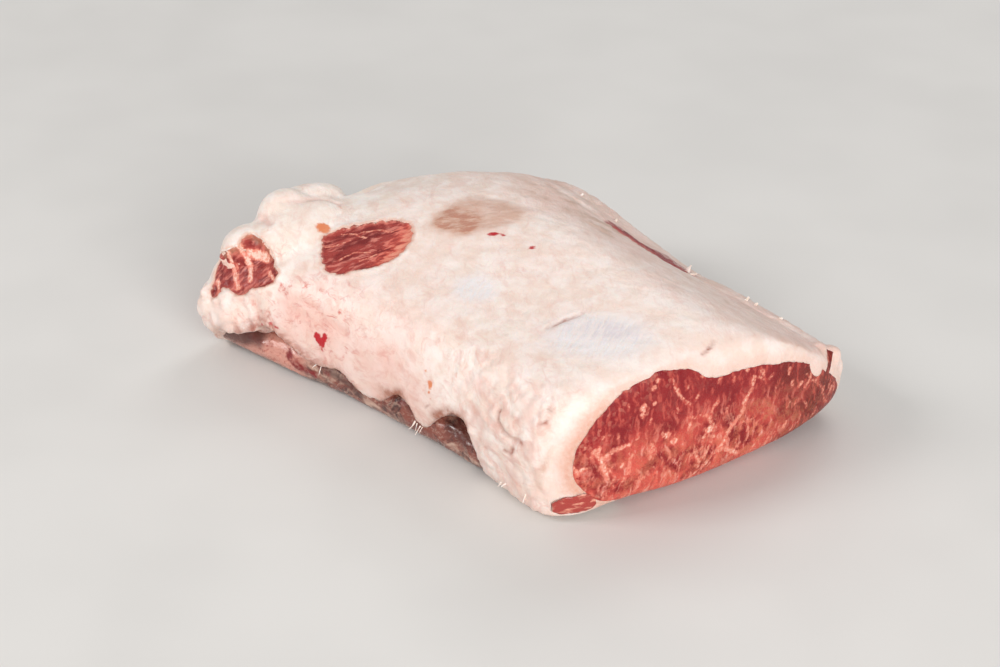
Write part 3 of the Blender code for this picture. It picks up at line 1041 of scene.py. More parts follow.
@dataclass(frozen=True)
class RoastSkin:
    """The whole outer surface of the roast, fat and lean together.

    cell is the size of a face, in metres. The other numbers are the depths and widths of
    the relief in millimetres, and crack_warp says how widely and how far cracks wander.
    """

    form: SoftForm = SoftForm()
    loops: Loops = (12, 10, 4)
    rounding: int = 4
    cell: float = 0.00109
    smoothing: int = 5
    fold_smoothing: int = 16
    lobes: tuple[Lobe, ...] = (
        Lobe((-0.0960, -0.0290, 0.0495), (0.0095, 0.0220, 0.0100), 0, -14),
        Lobe((-0.0935, -0.0450, 0.0502), (0.0112, 0.0125, 0.0130)),
        Lobe((-0.0840, -0.0420, 0.0460), (0.0190, 0.0240, 0.0135)),
        Lobe((-0.0940, -0.0630, 0.0410), (0.0115, 0.0125, 0.0115)),
        Lobe((-0.0880, -0.0760, 0.0205), (0.0140, 0.0095, 0.0115), 6),
        Lobe((-0.0975, -0.0775, 0.0192), (0.0080, 0.0090, 0.0125)),
        Lobe((-0.0965, -0.0768, 0.0080), (0.0038, 0.0043, 0.0064)),
        Lobe((-0.0800, -0.0745, 0.0240), (0.0070, 0.0060, 0.0070)),
        Lobe((0.0985, 0.0700, 0.0300), (0.0045, 0.0034, 0.0036)),
        Lobe((0.1005, 0.0752, 0.0262), (0.0042, 0.0042, 0.0044)),
        Lobe((0.0990, 0.0795, 0.0200), (0.0040, 0.0032, 0.0044)),
    )
    dents: tuple[Groove, ...] = (
        Groove(((-99.5, -12, 50), (-95, -6.5, 51.5)), 3.6, 4.2),
        Groove(((-95, -6.5, 51.5), (-88.5, 2.5, 53)), 3.2, 1.8),
        Groove(((-91.5, -12.5, 53), (-87, -8, 54)), 4, 2.8),
        Groove(((-93, 8, 50), (-84, 9, 54.5), (-75, 16, 57), (-66, 25, 58)), 10, -1.6),
        Groove(((-48, 62, 56.5), (-30, 66, 50), (-15, 69, 45), (0, 69.5, 41)), 9, 1.9),
        Groove(((40, 76, 31), (70, 79, 28), (95, 76, 27)), 7, -1),
    )
    cut_lift: Profile = (
        (-60, 0), (-46, 0), (-38, 2), (-27, 2.8), (-14, 1.3), (0, 0.6), (20, 0.6), (45, 1.9), (60, 3.4),
        (90, 2.4),
    )
    swell: float = 0.5
    crack_warp: Pair = (7.0, 0.9)
    seam_dip: float = 0.9
    seam_reach: float = 3.0
    window_dip: float = 0.65
    window_rim: float = 0.3
    rib_step: float = 28.0
    rib_dip: float = 0.55
    near_skirt: Skirt = Skirt(
        foot=(
            (-0.112, 0.000), (-0.101, 0.001), (-0.095, 0.006), (-0.090, 0.012), (-0.080, 0.014),
            (-0.072, 0.018), (-0.066, 0.023), (-0.059, 0.019), (-0.050, 0.0135), (-0.040, 0.012),
            (-0.030, 0.0135), (-0.024, 0.010), (-0.018, 0.004), (-0.012, 0.005), (-0.004, 0.012),
            (0.004, 0.0165), (0.009, 0.013), (0.0125, 0.004), (0.016, 0.004), (0.021, 0.012),
            (0.029, 0.019), (0.037, 0.023), (0.043, 0.021), (0.047, 0.008), (0.052, -0.002),
            (0.060, -0.004), (0.078, -0.002), (0.090, 0.003), (0.120, 0.007),
        ),
        outward=-1,
        undercut=0.014,
        depth=0.0065,
    )
    far_skirt: Skirt = Skirt(
        foot=(
            (-0.112, 0.020), (-0.080, 0.026), (-0.050, 0.021), (-0.020, 0.027), (0.010, 0.019),
            (0.040, 0.014), (0.070, 0.018), (0.092, 0.013), (0.120, 0.015),
        ),
        outward=1,
        undercut=0.0,
        start_y=0.090,
    )

    def uncut(self, name: str) -> Object:
        """Models the smooth outer form, with no lobes and nothing cut away."""
        return self.form.model(name, self.loops, self.rounding)

    def remesh(self, obj: Object) -> None:
        """Lays an even net of faces over a mesh."""
        Bench.finish(obj, "REMESH", mode="VOXEL", voxel_size=self.cell, use_smooth_shade=True)

    def relief(self, p: Array, n: Array, surface: BVHTree) -> Array:
        """The unevenness of the surface.

        Args:
            p: Points in millimetres.
            n: Their normals.
            surface: The surface before its relief.

        Returns:
            Millimetres outwards at each point.
        """
        (x, y, z), (nx, ny, nz) = p.T, n.T
        end = ramp(np.abs(nx), 0.62, 0.88) * ramp(np.abs(x), 84, 92)
        under = ramp(-nz, 0.5, 0.9)
        top = ramp(nz, 0.35, 0.8)
        near = ramp(-ny, 0.35, 0.8)
        front_lobe = near * ramp(x, 26, 46)
        left = ramp(x, -52, -70) * ramp(z, 48, 40)
        swell = self.swell * COARSE.octaves(p / 34, 2)
        bent = MIDDLE.warp(p, 16, 4)
        puffs = (0.10 + 0.45 * front_lobe) * (MIDDLE.billow(bent / 9) - 0.55)
        puffs = puffs + 1.2 * left * (MIDDLE.billow(bent / 7) - 0.55)
        small = (0.06 + 0.42 * front_lobe + 0.34 * left) * (FINE.billow(p / 4.6) - 0.5)
        slant = np.stack([x * 0.3 + y * 0.2, y * 0.8 - x * 0.5, z], 1)
        wrinkle = top * 0.26 * (1 - 2 * np.abs(FINE.octaves(slant / 7.5, 3)))
        wrinkle = wrinkle + ramp(y, 40, 60) * 0.30 * (FINE.billow(p / 3.6) - 0.5)
        outer = swell + puffs + small + wrinkle
        wandering = MIDDLE.warp(p, *self.crack_warp)
        for groove in snap_all((*MARKS.cracks, *MARKS.creases), surface):
            outer = outer - groove.dip(wandering)
        for dent in self.dents:
            outer = outer - dent.dip(p)
        seam = distance_to_line(wandering, snap_line(MARKS.far_seam, surface))
        outer = outer - self.seam_dip * np.exp(-((seam / self.seam_reach) ** 2))
        inside = window_depth(p, n)
        fibres = FINE.octaves(np.stack([x * 0.8 + y * 0.6, y * 0.25, z], 1) / 2.2, 2)
        outer = outer * ramp(inside, 3, -1) - ramp(inside, -0.3, 1.0) * (self.window_dip + 0.28 * fibres)
        outer = outer + self.window_rim * np.exp(-((inside + 1.3) ** 2))
        face = 0.16 * FINE.octaves(p / np.array([9.0, 2.6, 3.4]), 3)
        ribs = 1 + np.cos(x / self.rib_step * 2 * math.pi)
        below = 0.25 * MIDDLE.octaves(p / np.array([18.0, 6.0, 6.0]), 3)
        below = below - self.rib_dip * ribs * ramp(y, 10, -30)
        mixed = outer * (1 - end) + face * end
        return mixed * (1 - under) + below * under

    def sculpt(self, obj: Object) -> None:
        """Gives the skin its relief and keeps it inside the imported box.

        Args:
            obj: The skin.
        """
        p, n = Bench.points(obj), Bench.normals(obj)
        p = p + n * self.relief(p / MM, n, Bench.surface(obj))[:, None] * MM
        q = p / MM
        p[:, 2] += read_profile(self.cut_lift, q[:, 1]) * ramp(q[:, 0], 66, 100) * ramp(q[:, 2], 15, 2) * MM
        Bench.mould(obj, in_box(p))

    def build(self) -> Object:
        """Models the skin with its lobes, its cut away foot and its relief.

        Returns:
            A closed mesh.
        """
        skin = self.uncut("skin")
        lumps = [Bench.ball(f"lump_{i}", lobe) for i, lobe in enumerate(self.lobes)]
        skin = Bench.merge([skin, *lumps])
        self.remesh(skin)
        for name, skirt in (("near_skirt", self.near_skirt), ("far_skirt", self.far_skirt)):
            cutter = skirt.cutter(name)
            Bench.carve(skin, cutter, "DIFFERENCE")
            Bench.discard(cutter)
        self.remesh(skin)
        Bench.finish(skin, "SMOOTH", factor=0.5, iterations=self.smoothing)
        p = Bench.points(skin) / MM
        Bench.soften(skin, ramp(p[:, 0], -60, -72) * ramp(p[:, 2], 43, 49), self.fold_smoothing)
        self.sculpt(skin)
        return skin


@dataclass(frozen=True)
class LeanVolume:
    """The space that the lean eye takes inside the roast, with what stands up from it.

    seam_* shape the thin seam on the far shoulder, *_plug are the foot and the top of the
    lean under a window, and far_end_* draw the eye in at the far left corner, all in
    millimetres.
    """

    form: SoftForm = SoftForm(
        near_in=((0, 0.009), (0.25, 0.010), (0.8, 0.0105), (1, 0.0088)),
        far_y=((0, 0.071), (0.3, 0.083), (0.7, 0.087), (0.88, 0.0855), (1, 0.0795)),
        far_in=0.0035,
        floor=((0, -0.0030), (1, -0.0030)),
        foot=-0.005,
        under_crown=(
            (0, 0.010), (0.2, 0.0060), (0.36, 0.0055), (0.46, 0.0128), (0.62, 0.0135), (0.80, 0.0080),
            (1, 0.0060),
        ),
        corner_near_foot=1.0,
        corner_far_foot=0.5,
        corner_near_top=((0, 0.75), (1, 0.75)),
        past=0.012,
    )
    loops: Loops = (12, 9, 3)
    rounding: int = 3
    ragged: float = 0.9
    seam_width: Profile = ((0, 3.0), (0.1, 10.0), (0.5, 14.0), (0.7, 5.0), (1, 2.6))
    cut_rise: Profile = (
        (-56, 2), (-47, 2.4), (-41, 2.4), (-33, 3.9), (-25, 3.5), (-13, 1.9), (-5, 1.4), (1, -1.2),
        (7, -2.6), (14, -1.3), (24, 0.4), (37, 1.2), (50, 2.5), (61, 3.1), (72, 1.5), (80, 0),
    )
    tongue: Lobe = Lobe((0.1060, 0.0600, 0.0318), (0.0140, 0.0036, 0.0062), 0, 24)
    seam_start: float = -12.0
    seam_up: Point = (0.0, 0.62, 0.78)
    seam_rise: float = 15.0
    seam_hidden: float = -8.0
    seam_foot: float = -14.0
    window_plug: Pair = (34.0, 70.0)
    shoulder_plug: Pair = (62.0, 95.0)
    far_end_in: float = 4.0
    far_end_down: float = 4.5

    def eye(self) -> Object:
        """Models the eye out past both ends, with a ragged surface.

        Returns:
            A closed mesh.
        """
        obj = self.form.model("lean_volume", self.loops, self.rounding)
        p, n = Bench.points(obj), Bench.normals(obj)
        q = p / MM * np.array([0.35, 1, 1])
        uneven = MIDDLE.octaves(q / 6, 2) * self.ragged + FINE.octaves(q / 2.4, 3) * self.ragged * 0.6
        side = 1 - ramp(np.abs(n[:, 0]), 0.7, 0.9)
        moved = p / MM + n * (uneven * side)[:, None]
        rise = read_profile(self.cut_rise, moved[:, 1])
        moved[:, 2] += rise * ramp(moved[:, 0], 60, 96) * ramp(moved[:, 2], 18, 34)
        end = ramp(moved[:, 0], -50, -84)
        moved[:, 1] -= self.far_end_in * end * ramp(moved[:, 1], 35, 62)
        moved[:, 2] -= self.far_end_down * end * ramp(moved[:, 1], 25, 55) * ramp(moved[:, 2], 12, 30)
        Bench.mould(obj, moved * MM)
        return obj

    def plug(self, name: str, outline: Outline, ends: Pair) -> Object:
        """Models a plug of lean under a window.

        Args:
            name: Its name.
            outline: The window's outline.
            ends: The heights of its foot and its top as the window sees them, in millimetres.

        Returns:
            A closed mesh.
        """
        ring = outline.ring()
        obj = Bench.drum(name, len(ring))
        p = Bench.points(obj)
        turn = np.round(np.arctan2(p[:, 1], p[:, 0]) / (2 * math.pi) * len(ring)).astype(int) % len(ring)
        flat = ring[turn]
        height = np.where(p[:, 2] > 0, ends[1], ends[0])
        c, s = cos_sin(outline.tilt)
        y, z = flat[:, 1] * c - height * s, flat[:, 1] * s + height * c
        Bench.mould(obj, np.stack([flat[:, 0], y, z], 1) * MM)
        Bench.outward(obj)
        return obj

    def ribbon(self) -> Object:
        """Models the seam of lean along the far shoulder.

        Returns:
            A closed mesh.
        """
        obj = Bench.block("seam_ribbon", (160, 1, 1))
        path = np.array([q for q in MARKS.far_seam if q[0] > self.seam_start])
        share = np.linspace(0, 1, len(path))
        up = np.array(self.seam_up)

        def middle(t: Array) -> Array:
            """Points of the seam's middle line at shares of its length."""
            return np.stack([read_profile(tuple(zip(share, path[:, k])), t) for k in range(3)], 1)

        p = Bench.points(obj)
        t = (p[:, 0] + 1) / 2
        tangent = middle(np.clip(t + 0.02, 0, 1)) - middle(np.clip(t - 0.02, 0, 1))
        side = np.cross(up, tangent)
        side /= np.linalg.norm(side, axis=1, keepdims=True)
        centre = middle(t)
        wobble = 1 + 0.35 * FINE.octaves(np.stack([centre[:, 0], p[:, 1] * 9, 0 * t], 1) / 3.4, 3)
        half = read_profile(self.seam_width, t) / 2 * wobble
        shows = read_profile(MARKS.seam_shows, centre[:, 0])
        height = np.where(p[:, 2] > 0, self.seam_hidden + self.seam_rise * shows, self.seam_foot)
        Bench.mould(obj, (centre + side * (p[:, 1] * half)[:, None] + up * height[:, None]) * MM)
        Bench.outward(obj)
        return obj

    def build(self) -> Object:
        """Models the whole space of the eye.

        Returns:
            A closed mesh.
        """
        volume = self.eye()
        for part in (
            self.plug("window_plug", MARKS.window, self.window_plug),
            self.plug("shoulder_plug", MARKS.shoulder, self.shoulder_plug),
            self.ribbon(),
        ):
            Bench.carve(volume, part, "UNION")
            Bench.discard(part)
        tongue = Bench.ball("tongue", self.tongue)
        Bench.carve(volume, tongue, "DIFFERENCE")
        Bench.discard(tongue)
        return volume


# ---- finishes


def linear(red: int, green: int, blue: int) -> tuple[float, float, float, float]:
    """A colour as it looks on a screen, made a shader colour.

    Args:
        red: 0 to 255.
        green: 0 to 255.
        blue: 0 to 255.

    Returns:
        Red, green, blue and full cover.
    """

    def channel(value: int) -> float:
        """One channel of the colour."""
        v = value / 255
        return v / 12.92 if v <= 0.04045 else ((v + 0.055) / 1.055) ** 2.4

    return (channel(red), channel(green), channel(blue), 1.0)


class Palette:
    """Builds the nodes of one finish, laying colour over colour."""

    def __init__(self, name: str, ground: Tone) -> None:
        """Starts a finish.

        Args:
            name: The material's name.
            ground: The colour below all others.
        """
        self.material = bpy.data.materials.new(name)
        self.material.use_nodes = True
        self.nodes = self.material.node_tree.nodes
        self.links = self.material.node_tree.links
        self.shader = self.nodes["Principled BSDF"]
        self.colour: Socket | Tone = ground
        coordinates = self.nodes.new("ShaderNodeTexCoord")
        self.place = self.scaled(coordinates.outputs["Object"], (1000.0, 1000.0, 1000.0))

    def feed(self, socket: Socket, value: Socket | Tone | float) -> None:
        """Gives an input a link, a colour or a number.

        Args:
            socket: The input.
            value: What it is given.
        """
        if isinstance(value, Socket):
            self.links.new(value, socket)
        elif isinstance(value, tuple):
            socket.default_value = linear(*value)
        else:
            socket.default_value = value

    def node(self, kind: str, vector: Socket, **inputs: float | Point) -> bpy.types.Node:
        """Adds a node that reads coordinates.

        Args:
            kind: The node's type.
            vector: The coordinates.
            **inputs: Its other inputs by name.

        Returns:
            The node.
        """
        node = self.nodes.new(f"ShaderNode{kind}")
        self.links.new(vector, node.inputs["Vector"])
        for name, value in inputs.items():
            node.inputs[name].default_value = value
        return node

    def scaled(self, vector: Socket, by: Point) -> Socket:
        """Stretches coordinates.

        Args:
            vector: Coordinates.
            by: Factors along X, Y and Z.

        Returns:
            The stretched coordinates.
        """
        node = self.node("VectorMath", vector)
        node.operation = "MULTIPLY"
        node.inputs[1].default_value = by
        return node.outputs[0]

    def turned(self, vector: Socket, degrees: Point) -> Socket:
        """Turns coordinates about X, Y and Z."""
        return self.node("Mapping", vector, Rotation=tuple(map(math.radians, degrees))).outputs[0]

    def noise(
        self, vector: Socket, cell: float, detail: float = 3.0, rough: float = 0.5, twist: float = 0.0
    ) -> Socket:
        """Cloudy noise, about 0.2 to 0.8.

        Args:
            vector: Coordinates in millimetres.
            cell: The size of a cloud in millimetres.
            detail: How many finer layers.
            rough: How strong they are.
            twist: How much the clouds are distorted.

        Returns:
            The noise.
        """
        settings = {"Scale": 1 / cell, "Detail": detail, "Roughness": rough, "Distortion": twist}
        return self.node("TexNoise", vector, **settings).outputs["Fac"]

    def cells(self, vector: Socket, cell: float) -> Socket:
        """Distance from the edges between cells.

        Args:
            vector: Coordinates in millimetres.
            cell: The size of a cell in millimetres.

        Returns:
            0 on an edge.
        """
        node = self.node("TexVoronoi", vector, Scale=1 / cell)
        node.feature = "DISTANCE_TO_EDGE"
        return node.outputs["Distance"]

    def random_cells(self, vector: Socket, cell: float) -> Socket:
        """A different number from 0 to 1 in each cell, even within it."""
        return self.node("TexVoronoi", vector, Scale=1 / cell).outputs["Color"]

    def chosen(self, share: Socket, first: Socket, second: Socket) -> Socket:
        """Changes from one set of coordinates to another.

        Args:
            share: 0 for the first, 1 for the second.
            first: Coordinates.
            second: Coordinates.

        Returns:
            The mixed coordinates.
        """
        node = self.nodes.new("ShaderNodeMix")
        node.data_type = "VECTOR"
        for name, value in (("Factor", share), (4, first), (5, second)):
            self.links.new(value, node.inputs[name])
        return node.outputs[1]

    def warped(self, vector: Socket, cell: float, by: float) -> Socket:
        """Pushes coordinates about.

        Args:
            vector: Coordinates in millimetres.
            cell: The size of a swing in millimetres.
            by: How far they are pushed, in millimetres.

        Returns:
            The new coordinates.
        """
        noise = self.node("TexNoise", vector, Scale=1 / cell, Detail=2)
        push = self.nodes.new("ShaderNodeVectorMath")
        push.operation = "MULTIPLY_ADD"
        self.links.new(noise.outputs["Color"], push.inputs[0])
        push.inputs[1].default_value = (2 * by, 2 * by, 2 * by)
        self.links.new(vector, push.inputs[2])
        return push.outputs[0]

    def painted(self, name: str) -> Socket:
        """A number stored on the piece.

        Args:
            name: The attribute's name.

        Returns:
            Its value.
        """
        node = self.nodes.new("ShaderNodeAttribute")
        node.attribute_name = name
        return node.outputs["Fac"]

    def ramp(
        self, value: Socket, low: float, high: Socket | float, start: float = 0.0, end: float = 1.0
    ) -> Socket:
        """Maps one range onto another, clamped.

        Args:
            value: The input.
            low: Where the result is start.
            high: Where the result is end.
            start: The result at low.
            end: The result at high.

        Returns:
            The mapped value.
        """
        node = self.nodes.new("ShaderNodeMapRange")
        node.interpolation_type = "SMOOTHSTEP"
        for socket, given in zip(node.inputs, (value, low, high, start, end)):
            self.feed(socket, given)
        return node.outputs["Result"]

    def math(self, operation: str, a: Socket | float, b: Socket | float) -> Socket:
        """Joins two values.

        Args:
            operation: The Math node's operation.
            a: The first value.
            b: The second value.

        Returns:
            The result.
        """
        node = self.nodes.new("ShaderNodeMath")
        node.operation = operation
        self.feed(node.inputs[0], a)
        self.feed(node.inputs[1], b)
        return node.outputs[0]

    def times(self, *values: Socket | float) -> Socket:
        """The product of several values."""
        return reduce(partial(self.math, "MULTIPLY"), values)

    def mixed(self, under: Socket | Tone, over: Socket | Tone, cover: Socket | float) -> Socket:
        """Lays a colour over another.

        Args:
            under: The colour below.
            over: The colour above.
            cover: How much of it shows.

        Returns:
            The mixed colour.
        """
        node = self.nodes.new("ShaderNodeMix")
        node.data_type = "RGBA"
        for number, value in ((6, under), (7, over), (0, cover)):
            self.feed(node.inputs[number], value)
        return node.outputs[2]

    def lay(self, over: Socket | Tone, cover: Socket | float) -> None:
        """Lays a colour over the finish so far, as much of it as the cover says."""
        self.colour = self.mixed(self.colour, over, cover)

    def patch(self, over: Socket | Tone, name: str, pattern: Socket) -> None:
        """Lays a colour where the piece is painted under a name, broken up by a pattern."""
        self.lay(over, self.times(self.painted(name), pattern))

    def bumps(self, *layers: tuple[Socket, float, float]) -> None:
        """Adds relief that is too fine for the mesh.

        Args:
            *layers: For each layer its height, its strength and its depth in metres.
        """
        last = None
        for height, strength, depth in layers:
            node = self.nodes.new("ShaderNodeBump")
            self.links.new(height, node.inputs["Height"])
            node.inputs["Strength"].default_value = strength
            node.inputs["Distance"].default_value = depth
            if last is not None:
                self.links.new(last, node.inputs["Normal"])
            last = node.outputs["Normal"]
        self.links.new(last, self.shader.inputs["Normal"])

    def gloss(self, socket: Socket) -> None:
        """Gives the shader its roughness."""
        self.links.new(socket, self.shader.inputs["Roughness"])

    def done(self, **values: float | Point) -> Material:
        """Gives the shader the colour so far and its own sockets.

        Args:
            **values: Socket names, with _ for a space, and their values.

        Returns:
            The material.
        """
        self.links.new(self.colour, self.shader.inputs["Base Color"])
        for name, value in values.items():
            self.shader.inputs[name.replace("_", " ")].default_value = value
        return self.material


@dataclass(frozen=True)
class FatFinish:
    """Moist creamy fat with a pink cast, thin places, films, stains and cracks, and painted shade in its
    creases, along its lower edge and on its far slope.
    """

    cream: Tone = (240, 222, 210)
    white: Tone = (248, 238, 231)
    pink: Tone = (236, 190, 178)
    vein: Tone = (218, 158, 142)
    tan: Tone = (202, 154, 130)
    film: Tone = (236, 229, 229)
    film_core: Tone = (222, 211, 214)
    band: Tone = (222, 168, 146)
    lip_stain_and_shade: Tone = (168, 106, 84)
    rust: Tone = (222, 134, 90)
    blood: Tone = (186, 2, 24)
    red_vein: Tone = (206, 112, 98)
    fibre: Tone = (172, 96, 80)
    stain_and_far_shade: Tone = (206, 170, 150)
    crack: Tone = (158, 78, 52)
    lean: Tone = (150, 52, 50)

    def material(self) -> Material:
        """Builds the finish.

        Returns:
            The material.
        """
        p = Palette("pork_fat", self.cream)
        broad = p.noise(p.place, 30, 3)
        cloud = p.noise(p.place, 9, 4, 0.55)
        fine = p.noise(p.place, 2.2, 4, 0.6)
        p.lay(self.white, p.ramp(cloud, 0.36, 0.64))
        p.patch(self.pink, "blush", p.ramp(broad, 0.3, 0.7, 0.4, 1.0))
        # Pinker in creases and between puffs: partly the fat's own tint, partly painted shade.
        p.patch(self.vein, "crease_tint_and_shade", p.ramp(cloud, 0.3, 0.65, 0.45, 1.0))
        slant = p.scaled(p.turned(p.warped(p.place, 11, 5), (0, 0, 35)), (0.3, 1, 1))
        p.patch(self.vein, "wisps", p.ramp(p.noise(slant, 5, 6, 0.65, 0.8), 0.46, 0.72))
        reds = p.noise(p.warped(p.scaled(p.place, (0.5, 1, 0.8)), 6, 3), 3.2, 6, 0.7, 0.6)
        p.patch(self.red_vein, "red_wisps", p.ramp(reds, 0.50, 0.68))
        thread = p.ramp(p.cells(p.warped(slant, 6, 3.5), 9), 0.0, 0.05, 1.0, 0.0)
        p.lay(self.vein, p.times(thread, p.ramp(p.noise(p.place, 13, 3), 0.5, 0.66), 0.16))
        # Tan stains, and tan painted shade over the far slope.
        p.patch(self.stain_and_far_shade, "stain_and_far_shade", p.ramp(p.noise(p.place, 11, 5, 0.62), 0.42, 0.66, 0.15, 1.0))
        hairs = p.noise(p.scaled(p.turned(p.warped(p.place, 9, 3), (0, 24, 12)), (0.2, 1, 1)), 2.2, 2, 0.5)
        p.patch(self.fibre, "fibrous", p.ramp(hairs, 0.40, 0.64, 0.1, 0.75))
        weave = p.noise(p.scaled(p.turned(p.place, (0, 0, 40)), (1, 0.3, 1)), 2.4, 5, 0.65)
        tan = p.times(p.painted("tan"), p.ramp(weave, 0.3, 0.62, 0.62, 1.0))
        p.lay(self.tan, tan)
        p.lay(self.fibre, p.ramp(tan, 0.78, 1.1, 0.0, 0.55))
        lines = p.noise(p.scaled(p.turned(p.place, (0, 0, 62)), (0.06, 1, 1)), 1.1, 2)
        p.patch(self.film, "film", p.ramp(lines, 0.35, 0.6, 0.55, 1.0))
        p.patch(self.film_core, "film_core", p.ramp(lines, 0.4, 0.6, 0.2, 0.8))
        p.patch(self.band, "band", p.ramp(fine, 0.3, 0.65, 0.7, 1.0))
        # Brown along the fat's lower edge: partly a real stain, partly painted shade under the edge.
        p.patch(self.lip_stain_and_shade, "lip_stain_and_shade", p.ramp(p.noise(p.place, 5, 4, 0.6), 0.3, 0.62, 0.25, 1.0))
        ragged = p.ramp(fine, 0.3, 0.7, -0.22, 0.22)
        for name, tone in (("rust", self.rust), ("blood", self.blood)):
            edge = p.math("ADD", p.painted(name), p.times(ragged, p.ramp(p.painted(name), 0.02, 0.3)))
            p.lay(tone, p.ramp(edge, 0.1, 0.85))
        p.lay(self.crack, p.painted("crack"))
        stripe = p.noise(p.scaled(p.turned(p.place, (0, 0, 12)), (0.25, 1, 1)), 1.6, 4, 0.6)
        p.patch(self.lean, "seam", p.ramp(stripe, 0.36, 0.58, 0.35, 1.0))
        wander = p.ramp(p.noise(p.place, 2.6, 2), 0.3, 0.7, -0.35, 0.35)
        near_lean = p.math("ADD", p.painted("inside"), wander)
        p.lay(self.band, p.ramp(near_lean, -1.8, -0.1, 0.0, 0.6))
        p.lay(self.lean, p.ramp(near_lean, 0.1, 0.8, 0.0, 0.8))
        p.gloss(p.ramp(cloud, 0.3, 0.7, 0.36, 0.5))
        p.bumps(
            (p.noise(p.place, 3.4, 4, 0.6), 0.3, 0.0010),
            (p.noise(slant, 3.0, 6, 0.68), 0.45, 0.0010),
            (fine, 0.25, 0.0004),
            (p.times(lines, p.painted("film")), 0.6, 0.0003),
            (p.times(weave, p.painted("tan")), 0.5, 0.0004),
        )
        return p.done(
            Specular_IOR_Level=0.45,
            Subsurface_Weight=0.15,
            Subsurface_Radius=(1.0, 0.5, 0.35),
            Subsurface_Scale=0.0025,
            Coat_Weight=0.15,
            Coat_Roughness=0.28,
        )


